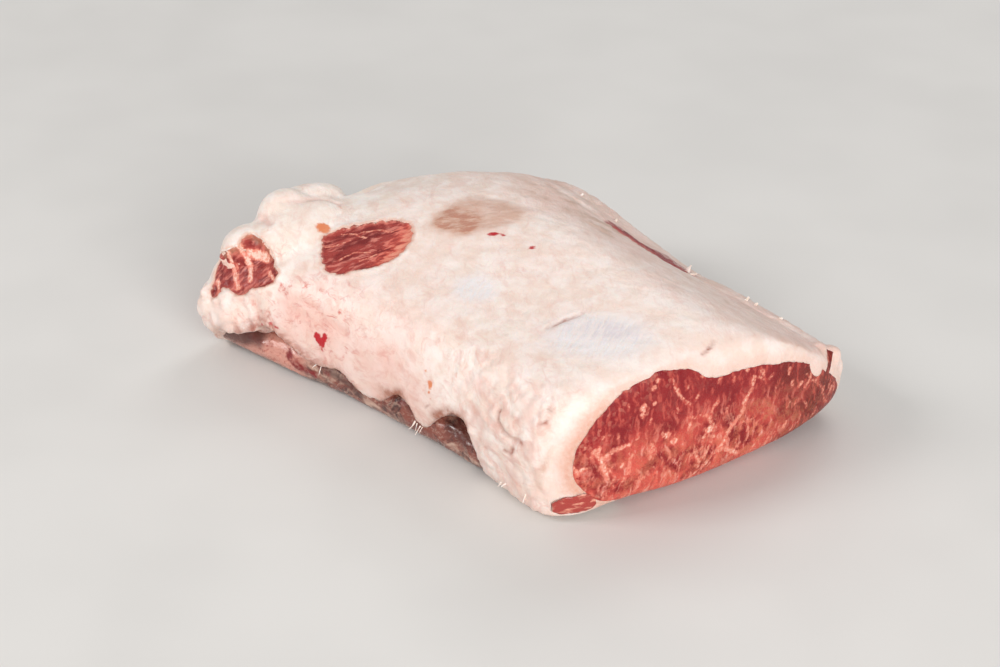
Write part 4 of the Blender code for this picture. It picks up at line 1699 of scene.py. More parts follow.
@dataclass(frozen=True)
class LeanFinish:
    """Wet red lean: bundles of fibres across the cut, streaks along them, and marbling; towards the cut's
    far end it turns browner and darker, partly as painted shade.
    """

    deep: Tone = (132, 26, 32)
    red: Tone = (178, 50, 50)
    coral: Tone = (224, 100, 84)
    fleck: Tone = (236, 160, 136)
    orange: Tone = (204, 116, 88)
    pale: Tone = (244, 208, 192)
    brown: Tone = (102, 36, 26)
    window_deep: Tone = (124, 38, 38)
    window_red: Tone = (166, 66, 60)
    window_streak: Tone = (222, 164, 150)
    rim: Tone = (176, 118, 94)

    def material(self) -> Material:
        """Builds the finish.

        Returns:
            The material.
        """
        p = Palette("pork_lean", self.deep)
        window, low = p.painted("window"), p.painted("low")
        across = p.scaled(p.place, (0.12, 1, 1))
        along = p.scaled(p.turned(p.place, (0, 0, -58)), (0.38, 1.1, 0.8))
        place = p.warped(p.chosen(window, across, along), 8, 2.4)
        tall = p.scaled(place, (1, 1, 0.45))
        tone = p.noise(place, 12, 4, 0.55)
        p.lay(self.red, p.ramp(tone, 0.36, 0.60))
        p.patch(self.coral, "warm", p.ramp(tone, 0.34, 0.56))
        bundle = p.random_cells(p.warped(tall, 3, 0.9), 2.6)
        p.lay(self.deep, p.ramp(bundle, 0.4, 1.0, 0.0, 0.35))
        between = p.cells(p.warped(tall, 3, 0.9), 2.6)
        open_up = p.ramp(p.noise(place, 5.5, 4, 0.6), 0.46, 0.68)
        seams = p.ramp(between, 0.0, p.ramp(open_up, 0.0, 1.0, 0.015, 0.24), 1.0, 0.0)
        p.lay(self.fleck, p.times(seams, open_up, p.ramp(low, 0, 1, 0.25, 0.65)))
        streak = p.noise(p.scaled(place, (1, 1, 0.36)), 1.9, 4, 0.55)
        shown = p.times(p.ramp(streak, 0.49, 0.62), p.ramp(p.noise(place, 7, 3), 0.36, 0.56), low)
        p.lay(self.fleck, p.times(shown, 0.7))
        p.lay(self.pale, p.times(p.ramp(streak, 0.59, 0.70), low, 0.8))
        mottle = p.ramp(p.noise(p.warped(p.place, 4, 1.5), 4.5, 5, 0.68), 0.46, 0.62)
        p.patch(self.orange, "mottle", mottle)
        p.lay(self.deep, p.painted("shade"))
        bead = p.ramp(p.cells(p.warped(p.place, 2, 0.5), 1.5), 0.05, 0.32)
        beads = p.times(bead, p.painted("beads"), p.ramp(p.noise(p.place, 3, 3), 0.36, 0.6))
        p.lay(self.deep, p.times(beads, 0.9))
        grain = p.ramp(p.random_cells(p.warped(p.place, 2, 0.5), 1.5), 0.62, 0.85)
        p.lay(self.fleck, p.times(grain, p.painted("beads"), 0.3))
        speck = p.ramp(p.noise(p.place, 0.6, 3, 0.6), 0.4, 0.65)
        p.lay(self.deep, p.times(speck, 0.2))
        # Browner and darker towards the cut's far end: partly the meat's own tone, partly painted shade.
        p.patch(self.brown, "brown_and_shade", p.ramp(tone, 0.35, 0.6, 1.0, 0.6))
        meat = p.mixed(self.window_deep, self.window_red, p.ramp(p.noise(place, 5, 4, 0.6), 0.38, 0.6))
        strand = p.times(p.ramp(streak, 0.50, 0.66), p.ramp(p.painted("warm"), 0, 0.6, 0.45, 0.85))
        meat = p.mixed(meat, self.window_streak, strand)
        p.lay(meat, window)
        p.patch(self.rim, "rim", p.ramp(streak, 0.35, 0.6, 0.6, 1.0))
        ragged = p.ramp(p.noise(p.place, 1.3, 4, 0.65), 0.3, 0.7, -0.45, 0.35)
        marble = p.painted("marble")
        p.lay(self.coral, p.ramp(marble, 0.02, 0.5, 0.0, 0.4))
        edge = p.math("ADD", marble, p.times(ragged, p.ramp(marble, 0.02, 0.3)))
        p.lay(self.fleck, p.ramp(edge, 0.12, 0.7, 0.0, 0.75))
        p.lay(self.pale, p.ramp(edge, 0.62, 1.15, 0.0, 0.95))
        veil = p.math("ADD", p.painted("veil"), p.ramp(streak, 0.35, 0.65, -0.35, 0.35))
        p.lay(self.coral, p.ramp(veil, 0.0, 0.7, 0.0, 0.75))
        p.lay(self.fleck, p.ramp(veil, 0.4, 1.1, 0.0, 0.75))
        wander = p.ramp(p.noise(p.place, 2.6, 2), 0.3, 0.7, -0.35, 0.35)
        near_fat = p.math("ADD", p.painted("inside"), wander)
        p.lay(self.fleck, p.times(p.ramp(near_fat, 1.0, 0.0, 0.0, 0.35), window))
        p.lay(self.pale, p.times(p.ramp(near_fat, 0.2, -0.3), window))
        p.gloss(p.ramp(p.noise(p.place, 1.6, 3), 0.35, 0.65, 0.22, 0.45))
        p.bumps((p.noise(tall, 1.3, 4, 0.65), 0.5, 0.0007), (p.noise(p.place, 0.5, 3), 0.3, 0.0003))
        return p.done(
            Specular_IOR_Level=0.25,
            Subsurface_Weight=0.06,
            Subsurface_Radius=(1.0, 0.3, 0.2),
            Subsurface_Scale=0.0015,
            Coat_Weight=0.06,
            Coat_Roughness=0.15,
        )


@dataclass(frozen=True)
class RibMeatFinish:
    """Rib meat under a thin grey membrane, with blood and painted shade in its hollows."""

    meat: Tone = (132, 66, 52)
    membrane: Tone = (202, 168, 150)
    dark: Tone = (66, 26, 22)
    blood: Tone = (126, 16, 20)
    fatty: Tone = (216, 154, 138)
    fibre: Tone = (168, 76, 62)
    lean: Tone = (170, 58, 50)
    fleck: Tone = (226, 152, 128)

    def material(self) -> Material:
        """Builds the finish.

        Returns:
            The material.
        """
        p = Palette("rib_meat", self.meat)
        place = p.warped(p.place, 10, 4)
        along = p.scaled(p.turned(place, (0, 0, -10)), (0.3, 1, 1))
        sheet = p.noise(along, 5.5, 5, 0.62, 0.4)
        p.lay(self.membrane, p.ramp(sheet, 0.46, 0.68))
        p.lay(self.dark, p.ramp(p.noise(place, 6, 5, 0.65), 0.48, 0.66))
        fibre = p.ramp(p.noise(p.scaled(p.turned(place, (0, 25, 20)), (0.15, 1, 1)), 1.2, 4, 0.6), 0.5, 0.66)
        p.lay(self.membrane, p.times(fibre, 0.45))
        strands = p.mixed(self.fatty, self.fibre, p.times(fibre, 0.8))
        p.lay(strands, p.painted("fatty"))
        # Painted shade in the strip's hollows.
        p.lay(self.dark, p.painted("recess_shade"))
        pooled = p.ramp(p.noise(place, 3, 4, 0.6), 0.35, 0.6, 0.35, 1.0)
        p.lay(self.blood, p.times(p.ramp(p.painted("blood"), 0.1, 0.9), pooled))
        face = p.noise(p.scaled(p.warped(p.place, 4, 1.2), (0.3, 0.55, 1.3)), 2.4, 3, 0.55)
        cut = p.mixed(self.lean, self.fleck, p.ramp(face, 0.50, 0.66))
        p.lay(cut, p.painted("cut"))
        p.gloss(p.ramp(sheet, 0.35, 0.65, 0.25, 0.42))
        p.bumps((sheet, 0.5, 0.0012), (p.noise(p.place, 0.8, 3), 0.3, 0.0003))
        return p.done(Specular_IOR_Level=0.5, Coat_Weight=0.25, Coat_Roughness=0.2)


@dataclass(frozen=True)
class FloorFinish:
    """Plain pale matt floor."""

    tone: Tone = (222, 220, 217)
    cloud: Tone = (217, 215, 212)

    def material(self) -> Material:
        """Builds the finish.

        Returns:
            The material.
        """
        p = Palette("pale_floor", self.tone)
        p.lay(self.cloud, p.ramp(p.noise(p.place, 90, 2), 0.3, 0.7))
        return p.done(Roughness=0.75)


# ---- pieces


class Slot(Enum):
    """The record's material slots."""

    FAT = "fat"
    LEAN = "lean"
    RIB_MEAT = "rib_meat"


def settle(obj: Object, node: str | None, material: Material) -> None:
    """Dresses a finished piece and puts it in its CAD node's place, where it has one.

    Args:
        obj: The piece.
        node: The node that it stands for, or None.
        material: Its finish.
    """
    obj.data.materials.clear()
    obj.data.materials.append(material)
    Bench.pick(obj)
    bpy.ops.object.shade_smooth()
    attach(obj, "root")
    if node is not None:
        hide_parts(node)
    LOG.info("%s: %d faces, stands for %s", obj.name, len(obj.data.polygons), node or "no node")


def depth_in(obj: Object, volume: Object, reach: int) -> Array:
    """Measures how far each vertex of a piece lies from another mesh's surface.

    Args:
        obj: The piece.
        volume: The other mesh.
        reach: The largest distance that counts, in millimetres.

    Returns:
        Whole millimetres, rounded down, at most the reach.
    """
    surface = Bench.surface(volume)
    away = np.full(len(obj.data.vertices), reach)
    for i, place in enumerate(Bench.points(obj)):
        distance = surface.find_nearest(Vector(place), reach * MM)[3]
        if distance is not None:
            away[i] = int(distance / MM)
    return away


@dataclass(frozen=True)
class FatCap:
    """The layer of fat, with its fold, its lobes and its scalloped foot.

    lean_reach is how far, in millimetres, the lean shines through the cut fat, and
    crack_share the width of a crack's colour as a share of the crack.
    """

    node: str = "fat_cap"
    finish: FatFinish = FatFinish()
    lean_reach: int = 14
    crack_share: float = 0.78
    crease_width: float = 2.0

    def build(self, skin: Object, lean: Object, strip: Object) -> Object:
        """Parts the fat from the skin.

        Args:
            skin: The roast's outer skin.
            lean: The lean's volume.
            strip: The side muscle's volume.

        Returns:
            The piece.
        """
        obj = Bench.copy(skin, "fat_layer")
        Bench.carve(obj, lean, "DIFFERENCE")
        Bench.carve(obj, strip, "DIFFERENCE")
        return obj

    def cracks(self, p: Array, surface: BVHTree) -> Array:
        """How dark the cracks are, which break off here and there.

        Args:
            p: Points in millimetres.
            surface: The fat's surface.

        Returns:
            From 0 to 1 at each point.
        """
        wandering = MIDDLE.warp(p, *RoastSkin().crack_warp)
        cracks = snap_all(MARKS.cracks, surface)
        dark = [crack.near(wandering, self.crack_share * crack.width) for crack in cracks]
        return np.max(dark, axis=0) * (0.5 + 0.5 * ramp(FINE.octaves(p / 3.5, 2), -0.12, 0.15))

    def valleys(self, p: Array, surface: BVHTree, lobe: Array) -> Array:
        """How deep in a crease, or between two puffs of fat, points lie, where pink is laid that is partly
        the fat's own tint and partly painted shade.

        Args:
            p: Points in millimetres.
            surface: The fat's surface.
            lobe: How far each point belongs to the puffed front lobe.

        Returns:
            From 0 to 1 at each point.
        """
        wandering = FINE.warp(p, 3, 0.5)
        creases = [crease.near(wandering, self.crease_width) for crease in snap_all(MARKS.creases, surface)]
        between = 1 - np.clip(MIDDLE.billow(MIDDLE.warp(p, 16, 4) / 10) * 1.6, 0, 1)
        return np.clip(0.5 * np.max(creases, axis=0) + 0.5 * between * (0.06 + 0.9 * lobe), 0, 1)

    def paint(self, obj: Object, lean: Object) -> None:
        """Stores where the fat's marks and its painted shade lie.

        Args:
            obj: The piece.
            lean: The lean's volume.
        """
        p, n = Bench.points(obj) / MM, Bench.normals(obj)
        x, y, z = p.T
        surface = Bench.surface(obj)
        wandering = FINE.warp(p, 3, 0.5)
        cut = ramp(np.abs(n[:, 0]), 0.5, 0.8) * ramp(np.abs(x), 80, 88)
        outside = 1 - cut
        top = ramp(n[:, 2], 0.3, 0.6)
        near = ramp(-n[:, 1], 0.3, 0.85)
        low = near * ramp(z, 42, 24)
        left = ramp(x, -52, -70)
        far = ramp(y, 5, 55)
        lobe = near * ramp(x, 30, 48)
        blush = 0.2 * (1 - left) + (0.25 * near + 0.95 * low) * (1 - 0.8 * lobe) * ramp(x, 30, -10)
        # The far term lays pink painted shade over the far slope.
        blush = np.clip(blush * (1 - 0.6 * left) + 0.45 * far, 0, 1)
        bare = near * ramp(x, -88, -74) * ramp(x, -4, -34)
        red = 0.5 * cover_all(snap_all(MARKS.red_wisps, surface), MIDDLE.warp(p, 8, 1.5))
        above_foot = z - read_profile(RoastSkin().near_skirt.foot, x * MM) / MM
        strands = near * ramp(x, -84, -74) * ramp(x, -34, -46) * ramp(above_foot, 9, 2)
        # The near fat's lower edge: partly brown staining, partly painted shade under the overhang.
        lip_stain_and_shade = ramp(above_foot, 6.5, 0.8) * ramp(-n[:, 1], -0.3, 0.3) * ramp(x, 52, 44) * ramp(y, -40, -50)
        to_lean = ramp(depth_in(obj, lean, self.lean_reach), 7, 0.3)
        thin = MARKS.thin_patch.cover(p) * 0.78 + MARKS.thin_corner.cover(p) * 0.85
        laid = {
            name: cover_all(snap_all(blots, surface), wandering)
            for name, blots in (
                ("stain_and_far_shade", MARKS.stains), ("lip_stain_and_shade", MARKS.lips), ("seam", MARKS.seam_red),
                ("rust", MARKS.rust), ("blood", MARKS.blood),
            )
        }
        # The far term is tan painted shade over the far slope; the blots lay stains.
        laid["stain_and_far_shade"] = np.clip(0.4 * far + laid["stain_and_far_shade"], 0, 1) * outside
        laid["lip_stain_and_shade"] = np.clip(0.5 * lip_stain_and_shade + laid["lip_stain_and_shade"], 0, 1)
        Bench.paint(
            obj,
            **laid,
            crack=self.cracks(p, surface),
            blush=blush * outside + 0.3 * cut,
            crease_tint_and_shade=self.valleys(p, surface, lobe) * outside,
            wisps=(0.24 + 0.25 * near) * outside,
            red_wisps=np.clip(0.08 + 0.5 * bare + red, 0, 1) * outside,
            fibrous=strands * outside,
            tan=np.clip(thin, 0, 1) * top,
            film=np.maximum(MARKS.film.cover(p), MARKS.small_film.cover(p)) * top,
            film_core=MARKS.film_core.cover(p) * top,
            band=cut * to_lean * (ramp(y, -20, -48) * 0.6 + 0.4),
            inside=window_depth(p, n),
        )

    def dress(self, obj: Object) -> None:
        """Gives the fat its finish."""
        settle(obj, self.node, self.finish.material())


@dataclass(frozen=True)
class Marbling:
    """The fat in the cut face: long seams, spots and short flecks, as (Y, Z) in millimetres.

    A seam is given as its half width, its strength and its points, a spot as its place and
    its radius.
    """

    seams: tuple[tuple[float, float, Profile], ...] = (
        (
            0.55,
            0.85,
            (
                (26.8, 38.5), (26.2, 34), (23.6, 30.1), (21.6, 24.3), (17.8, 21.2), (15.2, 17.8),
                (13, 14.2), (8.9, 11.2), (3.7, 6.8), (-1.1, 3.8),
            ),
        ),
        (
            0.5,
            0.7,
            ((9.6, 33.9), (7.4, 31.2), (5.7, 28.4), (8, 23.2), (8.7, 19.4), (6.6, 14.8), (2.3, 10.1)),
        ),
        (0.5, 0.7, ((-11.5, 50.3), (-10.8, 46.8), (-8, 41.8), (-4.2, 37.1))),
        (0.7, 0.9, ((-43.9, 30.3), (-41.6, 26.4), (-40.3, 21.7), (-38.9, 17.4))),
        (0.7, 0.9, ((-41.2, 26.3), (-37.4, 28.6), (-33.7, 29.2), (-30.4, 29.4))),
        (0.5, 0.8, ((-28.6, 25), (-30.2, 21.1), (-30.8, 17))),
        (0.5, 0.6, ((-4.9, 32.2), (-0.1, 30.5), (5.6, 29.3))),
        (0.4, 0.5, ((21.9, 20.2), (28.9, 19.8))),
        (0.7, 0.9, ((11.1, 13.1), (16.9, 9.9), (21.1, 5.8))),
        (0.6, 0.8, ((-0.2, 16.5), (1.7, 11.3), (1.7, 7.6))),
        (0.5, 0.8, ((-26.5, 7.3), (-25.2, 10.5), (-23.6, 12.7))),
        (0.8, 0.9, ((-51.8, 24.9), (-49.7, 22), (-48, 23.6))),
        (0.35, 0.5, ((54.2, 29.6), (57.9, 25.9), (61.2, 23.2))),
        (0.35, 0.5, ((62.5, 22.6), (64.9, 17.5), (67.9, 11.5))),
        (0.35, 0.5, ((28.4, 38), (33.6, 34.8))),
    )
    spots: tuple[tuple[float, float, float], ...] = (
        (-13.8, 27.6, 1.3), (-10.8, 23.9, 1.3), (6.5, 23.3, 1.2), (-24.7, 43.1, 1.2), (23.6, 42.7, 0.9),
        (51.7, 26.5, 0.6), (-19.6, 43.1, 0.7), (-18, 52, 0.8),
    )
    spot_strength: float = 0.95
    step: Pair = (3.3, 5.6)
    seed: int = 41

    def flecks(self) -> list[tuple[float, float, Array]]:
        """Scatters short flecks over the face, upright where the meat is lowest.

        Returns:
            For each fleck its half width, its strength and its points.
        """
        rng = np.random.default_rng(self.seed)
        made = []
        for y in np.arange(-52, 74, self.step[0]):
            for z in np.arange(3, 54, self.step[1]):
                at = np.array([y, z]) + rng.uniform(-0.5, 0.5, 2) * self.step
                low = 1 - np.clip(at[1] / 45, 0, 1)
                keep = 0.16 + 0.36 * low * (1 if at[0] < 22 else 0.5)
                if rng.random() > keep:
                    continue
                lean = rng.normal(0.28, 0.3)
                length = rng.uniform(1.0, 2.2) * (1 + 0.9 * low)
                bend = rng.normal(0, 0.35)
                up = np.array([math.sin(lean), math.cos(lean)])
                side = np.array([up[1], -up[0]])
                line = np.stack([at - up * length / 2, at + side * bend, at + up * length / 2])
                made.append((rng.uniform(0.22, 0.5), rng.uniform(0.35, 0.9), line))
        return made

    def cover(self, face: Array) -> Array:
        """How much fat shows at points of the cut face.

        Args:
            face: (Y, Z) of each point, in millimetres.

        Returns:
            From 0 to 1.
        """
        p = FINE.warp(np.column_stack([np.zeros(len(face)), face]), 4.0, 0.8)
        total = np.zeros(len(p))
        seams = [(half, strength, np.array(line)) for half, strength, line in self.seams]
        spots = [(radius, self.spot_strength, np.array([(y, z)])) for y, z, radius in self.spots]
        for half, strength, line in (*seams, *spots, *self.flecks()):
            nodes = np.column_stack([np.zeros(len(line)), line])
            low, high = line.min(0) - 3, line.max(0) + 3
            near = np.where(((p[:, 1:] > low) & (p[:, 1:] < high)).all(1))[0]
            away = distance_to_line(p[near], tuple(map(tuple, nodes)))
            total[near] = np.maximum(total[near], strength * ramp(away, half + 1.0, half - 0.35))
        return total * (0.78 + 0.35 * MIDDLE.octaves(p / 5, 2))


@dataclass(frozen=True)
class LoinEye:
    """The lean eye, which shows at both ends, in the windows and underneath.

    streak is the reach, the softness and the strength of a pale streak in the window, and
    rind the upper edge of the cut face.
    """

    node: str = "loin_eye"
    finish: LeanFinish = LeanFinish()
    marbling: Marbling = Marbling()
    skin_reach: float = 0.0005
    streak: Point = (0.35, 1.0, 0.75)
    rind: Profile = ((-49, 18), (-51, 25), (-47, 35), (-41, 43), (-33, 49), (-25, 52), (-13, 53))

    def build(self, skin: Object, lean: Object) -> Object:
        """Parts the lean from the skin and makes its cut face and windows finer.

        Args:
            skin: The roast's outer skin.
            lean: The lean's volume.

        Returns:
            The piece.
        """
        obj = Bench.copy(skin, "lean_eye")
        Bench.carve(obj, lean, "INTERSECT")
        middle = Bench.rows(obj.data.polygons, "center") / MM
        facing = Bench.rows(obj.data.polygons, "normal")
        cut = (middle[:, 0] > 84) & (facing[:, 0] > 0.45)
        top = (middle[:, 0] < -28) & (middle[:, 1] < -18) & (middle[:, 2] > 28) & (facing[:, 2] > 0.2)
        surface = Bench.surface(skin)
        shows = np.zeros(len(middle), bool)
        for i in np.where(cut | top)[0]:
            shows[i] = surface.find_nearest(Vector(middle[i] * MM), self.skin_reach)[3] is not None
        Bench.refine(obj, shows)
        return obj

    def paint(self, obj: Object) -> None:
        """Stores where the lean's marks and its painted shade lie.

        Args:
            obj: The piece.
        """
        p, n = Bench.points(obj) / MM, Bench.normals(obj)
        x, y, z = p.T
        wandering = FINE.warp(p, 3, 0.6)
        cut = ramp(n[:, 0], 0.35, 0.6) * ramp(x, 80, 86)
        open_fat = np.maximum(MARKS.window.depth(p), MARKS.shoulder.depth(p))
        window = ramp(open_fat, -2.5, -1.0) * ramp(z, 20, 24)
        ends = ramp(np.abs(n[:, 0]), 0.35, 0.6) * (1 - window)
        left = ramp(x, -60, -64)
        lines = [Blot(line, *self.streak) for line in MARKS.window_streaks]
        streaks = MARKS.window.cover(lines, wandering)
        seams = MARKS.shoulder.cover(MARKS.shoulder_fat, wandering) * left
        low = ramp(z, 42, 10) * ramp(y, 74, 26) * (0.5 + 0.5 * ramp(y, -50, -26))
        warm = 0.15 + 0.85 * ramp(z, 38, 10) * ramp(y, 66, 20)
        patches = np.clip(0.82 + 0.8 * COARSE.octaves(p / 12, 3), 0, 1)
        # Darker towards the cut's far end and far corner, in the notch at its foot and at the window's left
        # end: partly brown meat, partly painted shade.
        notch = np.exp(-(((y - 16.5) / 4) ** 2 + ((z - 5.5) / 2.5) ** 2))
        brown_and_shade = (0.9 * ramp(y, 30, 52) * patches + 0.5 * notch) * cut
        brown_and_shade = brown_and_shade + 0.9 * ramp(x, 90, 96) * ramp(y, 58, 64) * (1 - cut)
        middle = ramp(y, 12, 34) * ramp(y, 72, 56)
        veil = ramp((x + 46.8) * 0.79 + (y + 39.8) * 0.2, 3, 16) * ramp(x, -72, -66)
        rind = tuple((0.0, *place) for place in self.rind)
        from_rind = distance_to_line(p * np.array([0.0, 1.0, 1.0]), rind)
        Bench.paint(
            obj,
            window=window,
            marble=np.maximum(self.marbling.cover(p[:, 1:]) * ends, np.maximum(streaks, seams) * window),
            low=np.clip((0.15 + 0.85 * low) * (1 - window) + 0.3 * window, 0, 1),
            warm=np.clip(warm * (1 - window) + 0.5 * window * ramp(x, -56, -36), 0, 1),
            mottle=(0.5 * middle + 0.45) * ramp(z, 38, 24) * cut,
            shade=0.75 * ramp(z + 0.2 * np.maximum(y, 0), 24, 44) * cut,
            brown_and_shade=np.clip(brown_and_shade + 0.3 * window * ramp(x, -48, -60), 0, 1),
            veil=veil * window,
            rim=MARKS.shoulder.cover(MARKS.shoulder_rims, wandering) * left * window,
            beads=ramp(from_rind, 9, 1) * cut,
            inside=window_depth(p, n),
        )

    def dress(self, obj: Object) -> None:
        """Gives the lean its finish."""
        settle(obj, self.node, self.finish.material())


@dataclass(frozen=True)
class SideMuscle:
    """The strip of rib meat along the foot of the near side.

    proud is how far it stands out past the fat round it, in metres.
    """

    node: str = "side_muscle"
    finish: RibMeatFinish = RibMeatFinish()
    form: SoftForm = SoftForm(
        near_in=((0, 0.0026), (0.35, 0.0016), (0.75, 0.0026), (1, 0.0060)),
        far_y=((0, -0.058), (0.35, -0.046), (0.7, -0.043), (1, -0.0425)),
        floor=((0, 0.0012), (0.7, 0.0012), (0.78, 0.0024), (0.85, 0.0030), (1, 0.0040)),
        flat_top=((0, 0.016), (0.35, 0.016), (0.7, 0.015), (1, 0.0115)),
        corner_near_foot=0.75,
        corner_far_foot=0.75,
        corner_near_top=((0, 0.75), (1, 0.75)),
        corner_far_top=0.75,
        past=0.012,
    )
    loops: Loops = (12, 2, 1)
    rounding: int = 4
    proud: float = 0.0003
    blood: tuple[Blot, ...] = (
        Blot(((-57, -70, 11.3), (-52.3, -69.3, 8), (-44.9, -67.3, 7.3)), 2.2, 3),
        Blot(((-40.1, -67.8, 12.4), (-36, -66, 10)), 1.2, 2, 0.6),
        Blot(((2, -60, 12), (7, -60, 15)), 2, 3, 0.5),
        Blot(((-78, -74, 12), (-68, -72, 12)), 2, 3, 0.4),
    )
    # Painted shade in the strip's hollows.
    recess_shade: tuple[Blot, ...] = (
        Blot(((-100, -82, 8), (-92, -79, 10), (-81.6, -75.2, 11), (-76.1, -72.9, 13.1)), 4.5, 5.0, 0.85),
        Blot(((-40.1, -67.8, 12.4), (-29.2, -64.1, 10), (-20.7, -62.7, 7)), 1.6, 3, 0.8),
        Blot(((4, -60, 15.5), (10, -60, 15)), 3, 4, 0.6),
        Blot(((30, -60, 18), (41, -60, 18)), 3.5, 4, 0.6),
    )

    def volume(self, lean: Object) -> Object:
        """Models the strip out past both ends, seated against the lean.

        Args:
            lean: The lean's volume.

        Returns:
            A closed mesh.
        """
        obj = self.form.model("strip_volume", self.loops, self.rounding)
        p, n = Bench.points(obj), Bench.normals(obj)
        q = p / MM
        lumps = 0.9 * MIDDLE.octaves(q / np.array([13.0, 7.0, 7.0]), 3) + 0.35 * (FINE.billow(q / 4) - 0.5)
        lumps = lumps * (1 - ramp(np.abs(q[:, 0]), 74, 88))
        ragged = 1.3 * MIDDLE.octaves(q / np.array([60.0, 4.5, 4.5]), 3) * (1 - ramp(n[:, 0], 0.7, 0.9))
        Bench.mould(obj, p + n * (lumps + ragged * ramp(q[:, 0], 74, 88))[:, None] * MM)
        Bench.carve(obj, lean, "DIFFERENCE")
        return obj

    def build(self, volume: Object, skin: Object) -> Object:
        """Ends the strip a hair proud of the fat round it.

        Args:
            volume: The strip's volume.
            skin: The smooth outer form.

        Returns:
            The piece.
        """
        obj = Bench.copy(volume, "rib_strip")
        trim = Bench.copy(skin, "trim")
        Bench.mould(trim, Bench.points(trim) + Bench.normals(trim) * self.proud)
        Bench.carve(obj, trim, "INTERSECT")
        Bench.discard(trim)
        Bench.mould(obj, in_box(Bench.points(obj)))
        return obj

    def paint(self, obj: Object) -> None:
        """Stores where blood, fat and the painted shade of the hollows lie on the strip.

        Args:
            obj: The piece.
        """
        p, n = Bench.points(obj) / MM, Bench.normals(obj)
        wandering = MIDDLE.warp(p, 6, 1.5)
        surface = Bench.surface(obj)
        Bench.paint(
            obj,
            blood=cover_all(snap_all(self.blood, surface), wandering),
            recess_shade=cover_all(snap_all(self.recess_shade, surface), wandering),
            fatty=0.85 * ramp(p[:, 0], -44, -56) * ramp(-n[:, 2], 0.8, 0.4),
            cut=ramp(n[:, 0], 0.4, 0.7) * ramp(p[:, 0], 82, 88),
        )

    def dress(self, obj: Object) -> None:
        """Gives the strip its finish."""
        settle(obj, self.node, self.finish.material())


@dataclass(frozen=True)
class Shred:
    """A loose shred of fat: where it is rooted and where it points, in millimetres."""

    at: Point
    towards: Point
    length: float
    width: float


@dataclass(frozen=True)
class Shreds:
    """The loose shreds of the fat's edges, with roots sunk by a share of their width."""

    loops: Loops = (5, 1, 1)
    rounding: int = 2
    sunk: float = 0.7
    shreds: tuple[Shred, ...] = (
        Shred((8.6, -59.6, 5.6), (-0.3, -0.8, -1), 3.6, 0.75),
        Shred((10.4, -59.6, 5.4), (0.3, -0.7, -1), 2.8, 0.6),
        Shred((13.6, -59.4, 6.2), (0, -0.9, -1), 3.4, 0.8),
        Shred((15.4, -59.4, 7), (0.5, -0.9, -0.7), 2.4, 0.6),
        Shred((-41, -67, 7), (0.2, -0.6, -1), 3.8, 0.6),
        Shred((-43.5, -68, 8), (-0.3, -0.8, -0.8), 2.4, 0.55),
        Shred((61.5, -60.5, 6), (0.2, -0.8, -0.5), 2.2, 0.9),
        Shred((64.5, -60.5, 7.5), (-0.1, -0.9, -0.4), 2, 0.8),
        Shred((77, -60, 9), (0.3, -0.9, -0.6), 2.4, 0.9),
        Shred((-35.4, 66.5, 50), (0.6, 0.3, 0.7), 1.2, 1.6),
        Shred((-14.8, 69, 44.5), (0.5, 0.4, 0.8), 1, 1.4),
        Shred((31, 65.5, 40.5), (0.3, 0.3, 1), 2.6, 2.2),
        Shred((33, 66.5, 40), (0.7, 0.3, 0.6), 1.8, 2),
        Shred((55, 74, 34), (0.4, 0.3, 0.8), 1.4, 2.4),
        Shred((59, 74.5, 33.5), (0.7, 0.3, 0.6), 1.2, 2.2),
        Shred((72, 76, 31.5), (0.6, 0.3, 0.6), 0.8, 2),
    )

    def build(self, fat: Object) -> Object:
        """Models the shreds on the fat."""
        surface = Bench.surface(fat)
        return Bench.merge([self.strand(i, shred, surface) for i, shred in enumerate(self.shreds)])

    def strand(self, number: int, shred: Shred, surface: BVHTree) -> Object:
        """Models one shred: a bent rod that thins towards its tip.

        Args:
            number: Its place in the list.
            shred: Where it is.
            surface: The fat's surface.

        Returns:
            A closed mesh.
        """
        place, out, _, _ = surface.find_nearest(Vector(shred.at) * MM)
        root = (place - out * self.sunk * shred.width * MM) / MM
        along = Vector(shred.towards).normalized()
        side = along.cross(Vector((0.31, 0.83, 0.47))).normalized()
        obj = Bench.block(f"shred_{number}", self.loops)
        p = Bench.points(obj)
        t = (p[:, 0] + 1) / 2
        thin = shred.width / 2 * (1 - 0.7 * t) * (1 + 0.3 * np.sin(7 * t + number))
        bend = 0.16 * shred.length * np.sin(3 * t + 1.7 * number)
        across = np.array(side) * (p[:, 1] * thin + bend)[:, None]
        up = np.array(along.cross(side)) * (p[:, 2] * thin * 0.7)[:, None]
        line = np.array(root) + np.array(along) * (t * (shred.length + shred.width))[:, None]
        Bench.mould(obj, in_box((line + across + up) * MM))
        Bench.finish(obj, "SUBSURF", levels=self.rounding)
        Bench.outward(obj)
        return obj

    def dress(self, obj: Object, material: Material) -> None:
        """Gives the shreds the fat's finish.

        Args:
            obj: The piece.
            material: The fat's finish.
        """
        obj.name = "fat_shreds"
        Bench.paint(obj, inside=np.full(len(obj.data.vertices), MARKS.outside))
        settle(obj, None, material)


# ---- studio


@dataclass(frozen=True)
class SoftBox:
    """A square soft light that looks at the roast."""

    name: str
    at: Point
    size: float
    power: float
    tint: Point = (1.0, 1.0, 1.0)


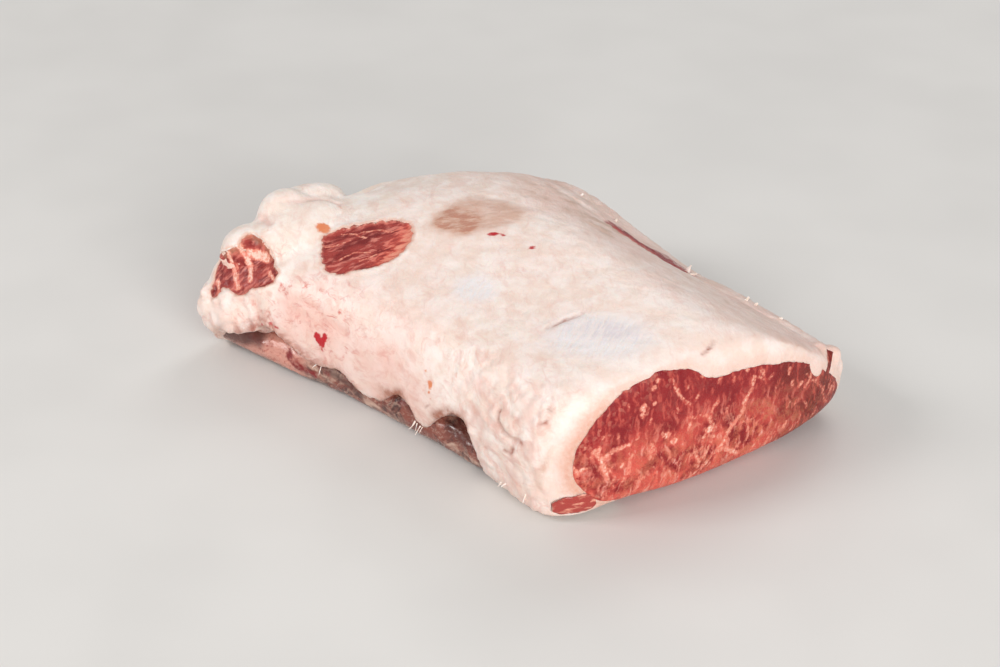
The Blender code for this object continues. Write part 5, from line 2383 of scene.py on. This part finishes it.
@dataclass(frozen=True)
class Studio:
    """The floor, the lights and the camera."""

    target: Point = (-0.00627, -0.00273, 0.01866)
    azimuth: float = 50.0
    elevation: float = 30.0
    distance: float = 0.8462
    lens: float = 75.6
    sky: float = 0.40
    floor: FloorFinish = FloorFinish()
    lights: tuple[SoftBox, ...] = (
        SoftBox("key", (-0.80, -1.50, 1.20), 0.70, 17.8, (1.0, 0.99, 0.98)),
        SoftBox("fill", (1.60, -0.50, 0.62), 0.90, 23.0, (1.0, 0.99, 0.98)),
        SoftBox("back", (-0.70, 1.40, 1.30), 0.90, 8.0, (1.0, 1.0, 1.0)),
    )

    def lay_floor(self) -> None:
        """Lays a wide pale floor."""
        Bench.clear()
        bpy.ops.mesh.primitive_plane_add(size=14, location=(0, 0, 0))
        floor = bpy.context.object
        floor.name = "floor"
        floor.data.materials.append(self.floor.material())

    def light(self) -> None:
        """Hangs the soft boxes and sets the sky."""
        for box in self.lights:
            lamp = bpy.data.lights.new(box.name, "AREA")
            lamp.shape, lamp.size, lamp.energy, lamp.color = "SQUARE", box.size, box.power, box.tint
            obj = bpy.data.objects.new(box.name, lamp)
            obj.location = box.at
            obj.rotation_euler = (Vector(self.target) - Vector(box.at)).to_track_quat("-Z", "Y").to_euler()
            bpy.context.scene.collection.objects.link(obj)
        world = bpy.data.worlds.new("sky")
        world.use_nodes = True
        world.node_tree.nodes["Background"].inputs["Color"].default_value = (1.0, 0.99, 0.98, 1.0)
        world.node_tree.nodes["Background"].inputs["Strength"].default_value = self.sky
        bpy.context.scene.world = world

    def grade(self) -> None:
        """Shows colours as they are, with no film curve over them."""
        bpy.context.scene.view_settings.view_transform = "Standard"

    def aim_camera(self) -> None:
        """Puts the camera where the photograph was taken from."""
        a, e = math.radians(self.azimuth), math.radians(self.elevation)
        back = Vector((math.sin(a) * math.cos(e), -math.cos(a) * math.cos(e), math.sin(e)))
        data = bpy.data.cameras.new("camera")
        data.lens, data.sensor_width = self.lens, 36.0
        data.clip_start, data.clip_end = 0.01, 20.0
        camera = bpy.data.objects.new("camera", data)
        camera.location = Vector(self.target) + back * self.distance
        camera.rotation_euler = (-back).to_track_quat("-Z", "Y").to_euler()
        bpy.context.scene.collection.objects.link(camera)
        bpy.context.scene.camera = camera


def main() -> None:
    """Builds the roast and its studio."""
    roast = RoastSkin()
    fat, eye, strip = FatCap(), LoinEye(), SideMuscle()

    smooth = roast.uncut("smooth_form")
    lean = LeanVolume().build()
    strip_volume = strip.volume(lean)
    skin = roast.build()
    LOG.info("skin: %d faces", len(skin.data.polygons))
    fat_piece = fat.build(skin, lean, strip_volume)
    eye_piece = eye.build(skin, lean)
    strip_piece = strip.build(strip_volume, smooth)
    shreds = Shreds()
    shreds_piece = shreds.build(fat_piece)

    fat.paint(fat_piece, lean)
    eye.paint(eye_piece)
    strip.paint(strip_piece)
    Bench.discard(smooth, lean, skin, strip_volume)
    fat.dress(fat_piece)
    eye.dress(eye_piece)
    strip.dress(strip_piece)
    shreds.dress(shreds_piece, fat_piece.data.materials[0])

    studio = Studio()
    studio.lay_floor()
    studio.light()
    studio.grade()
    studio.aim_camera()


if __name__ == "__main__":
    main()
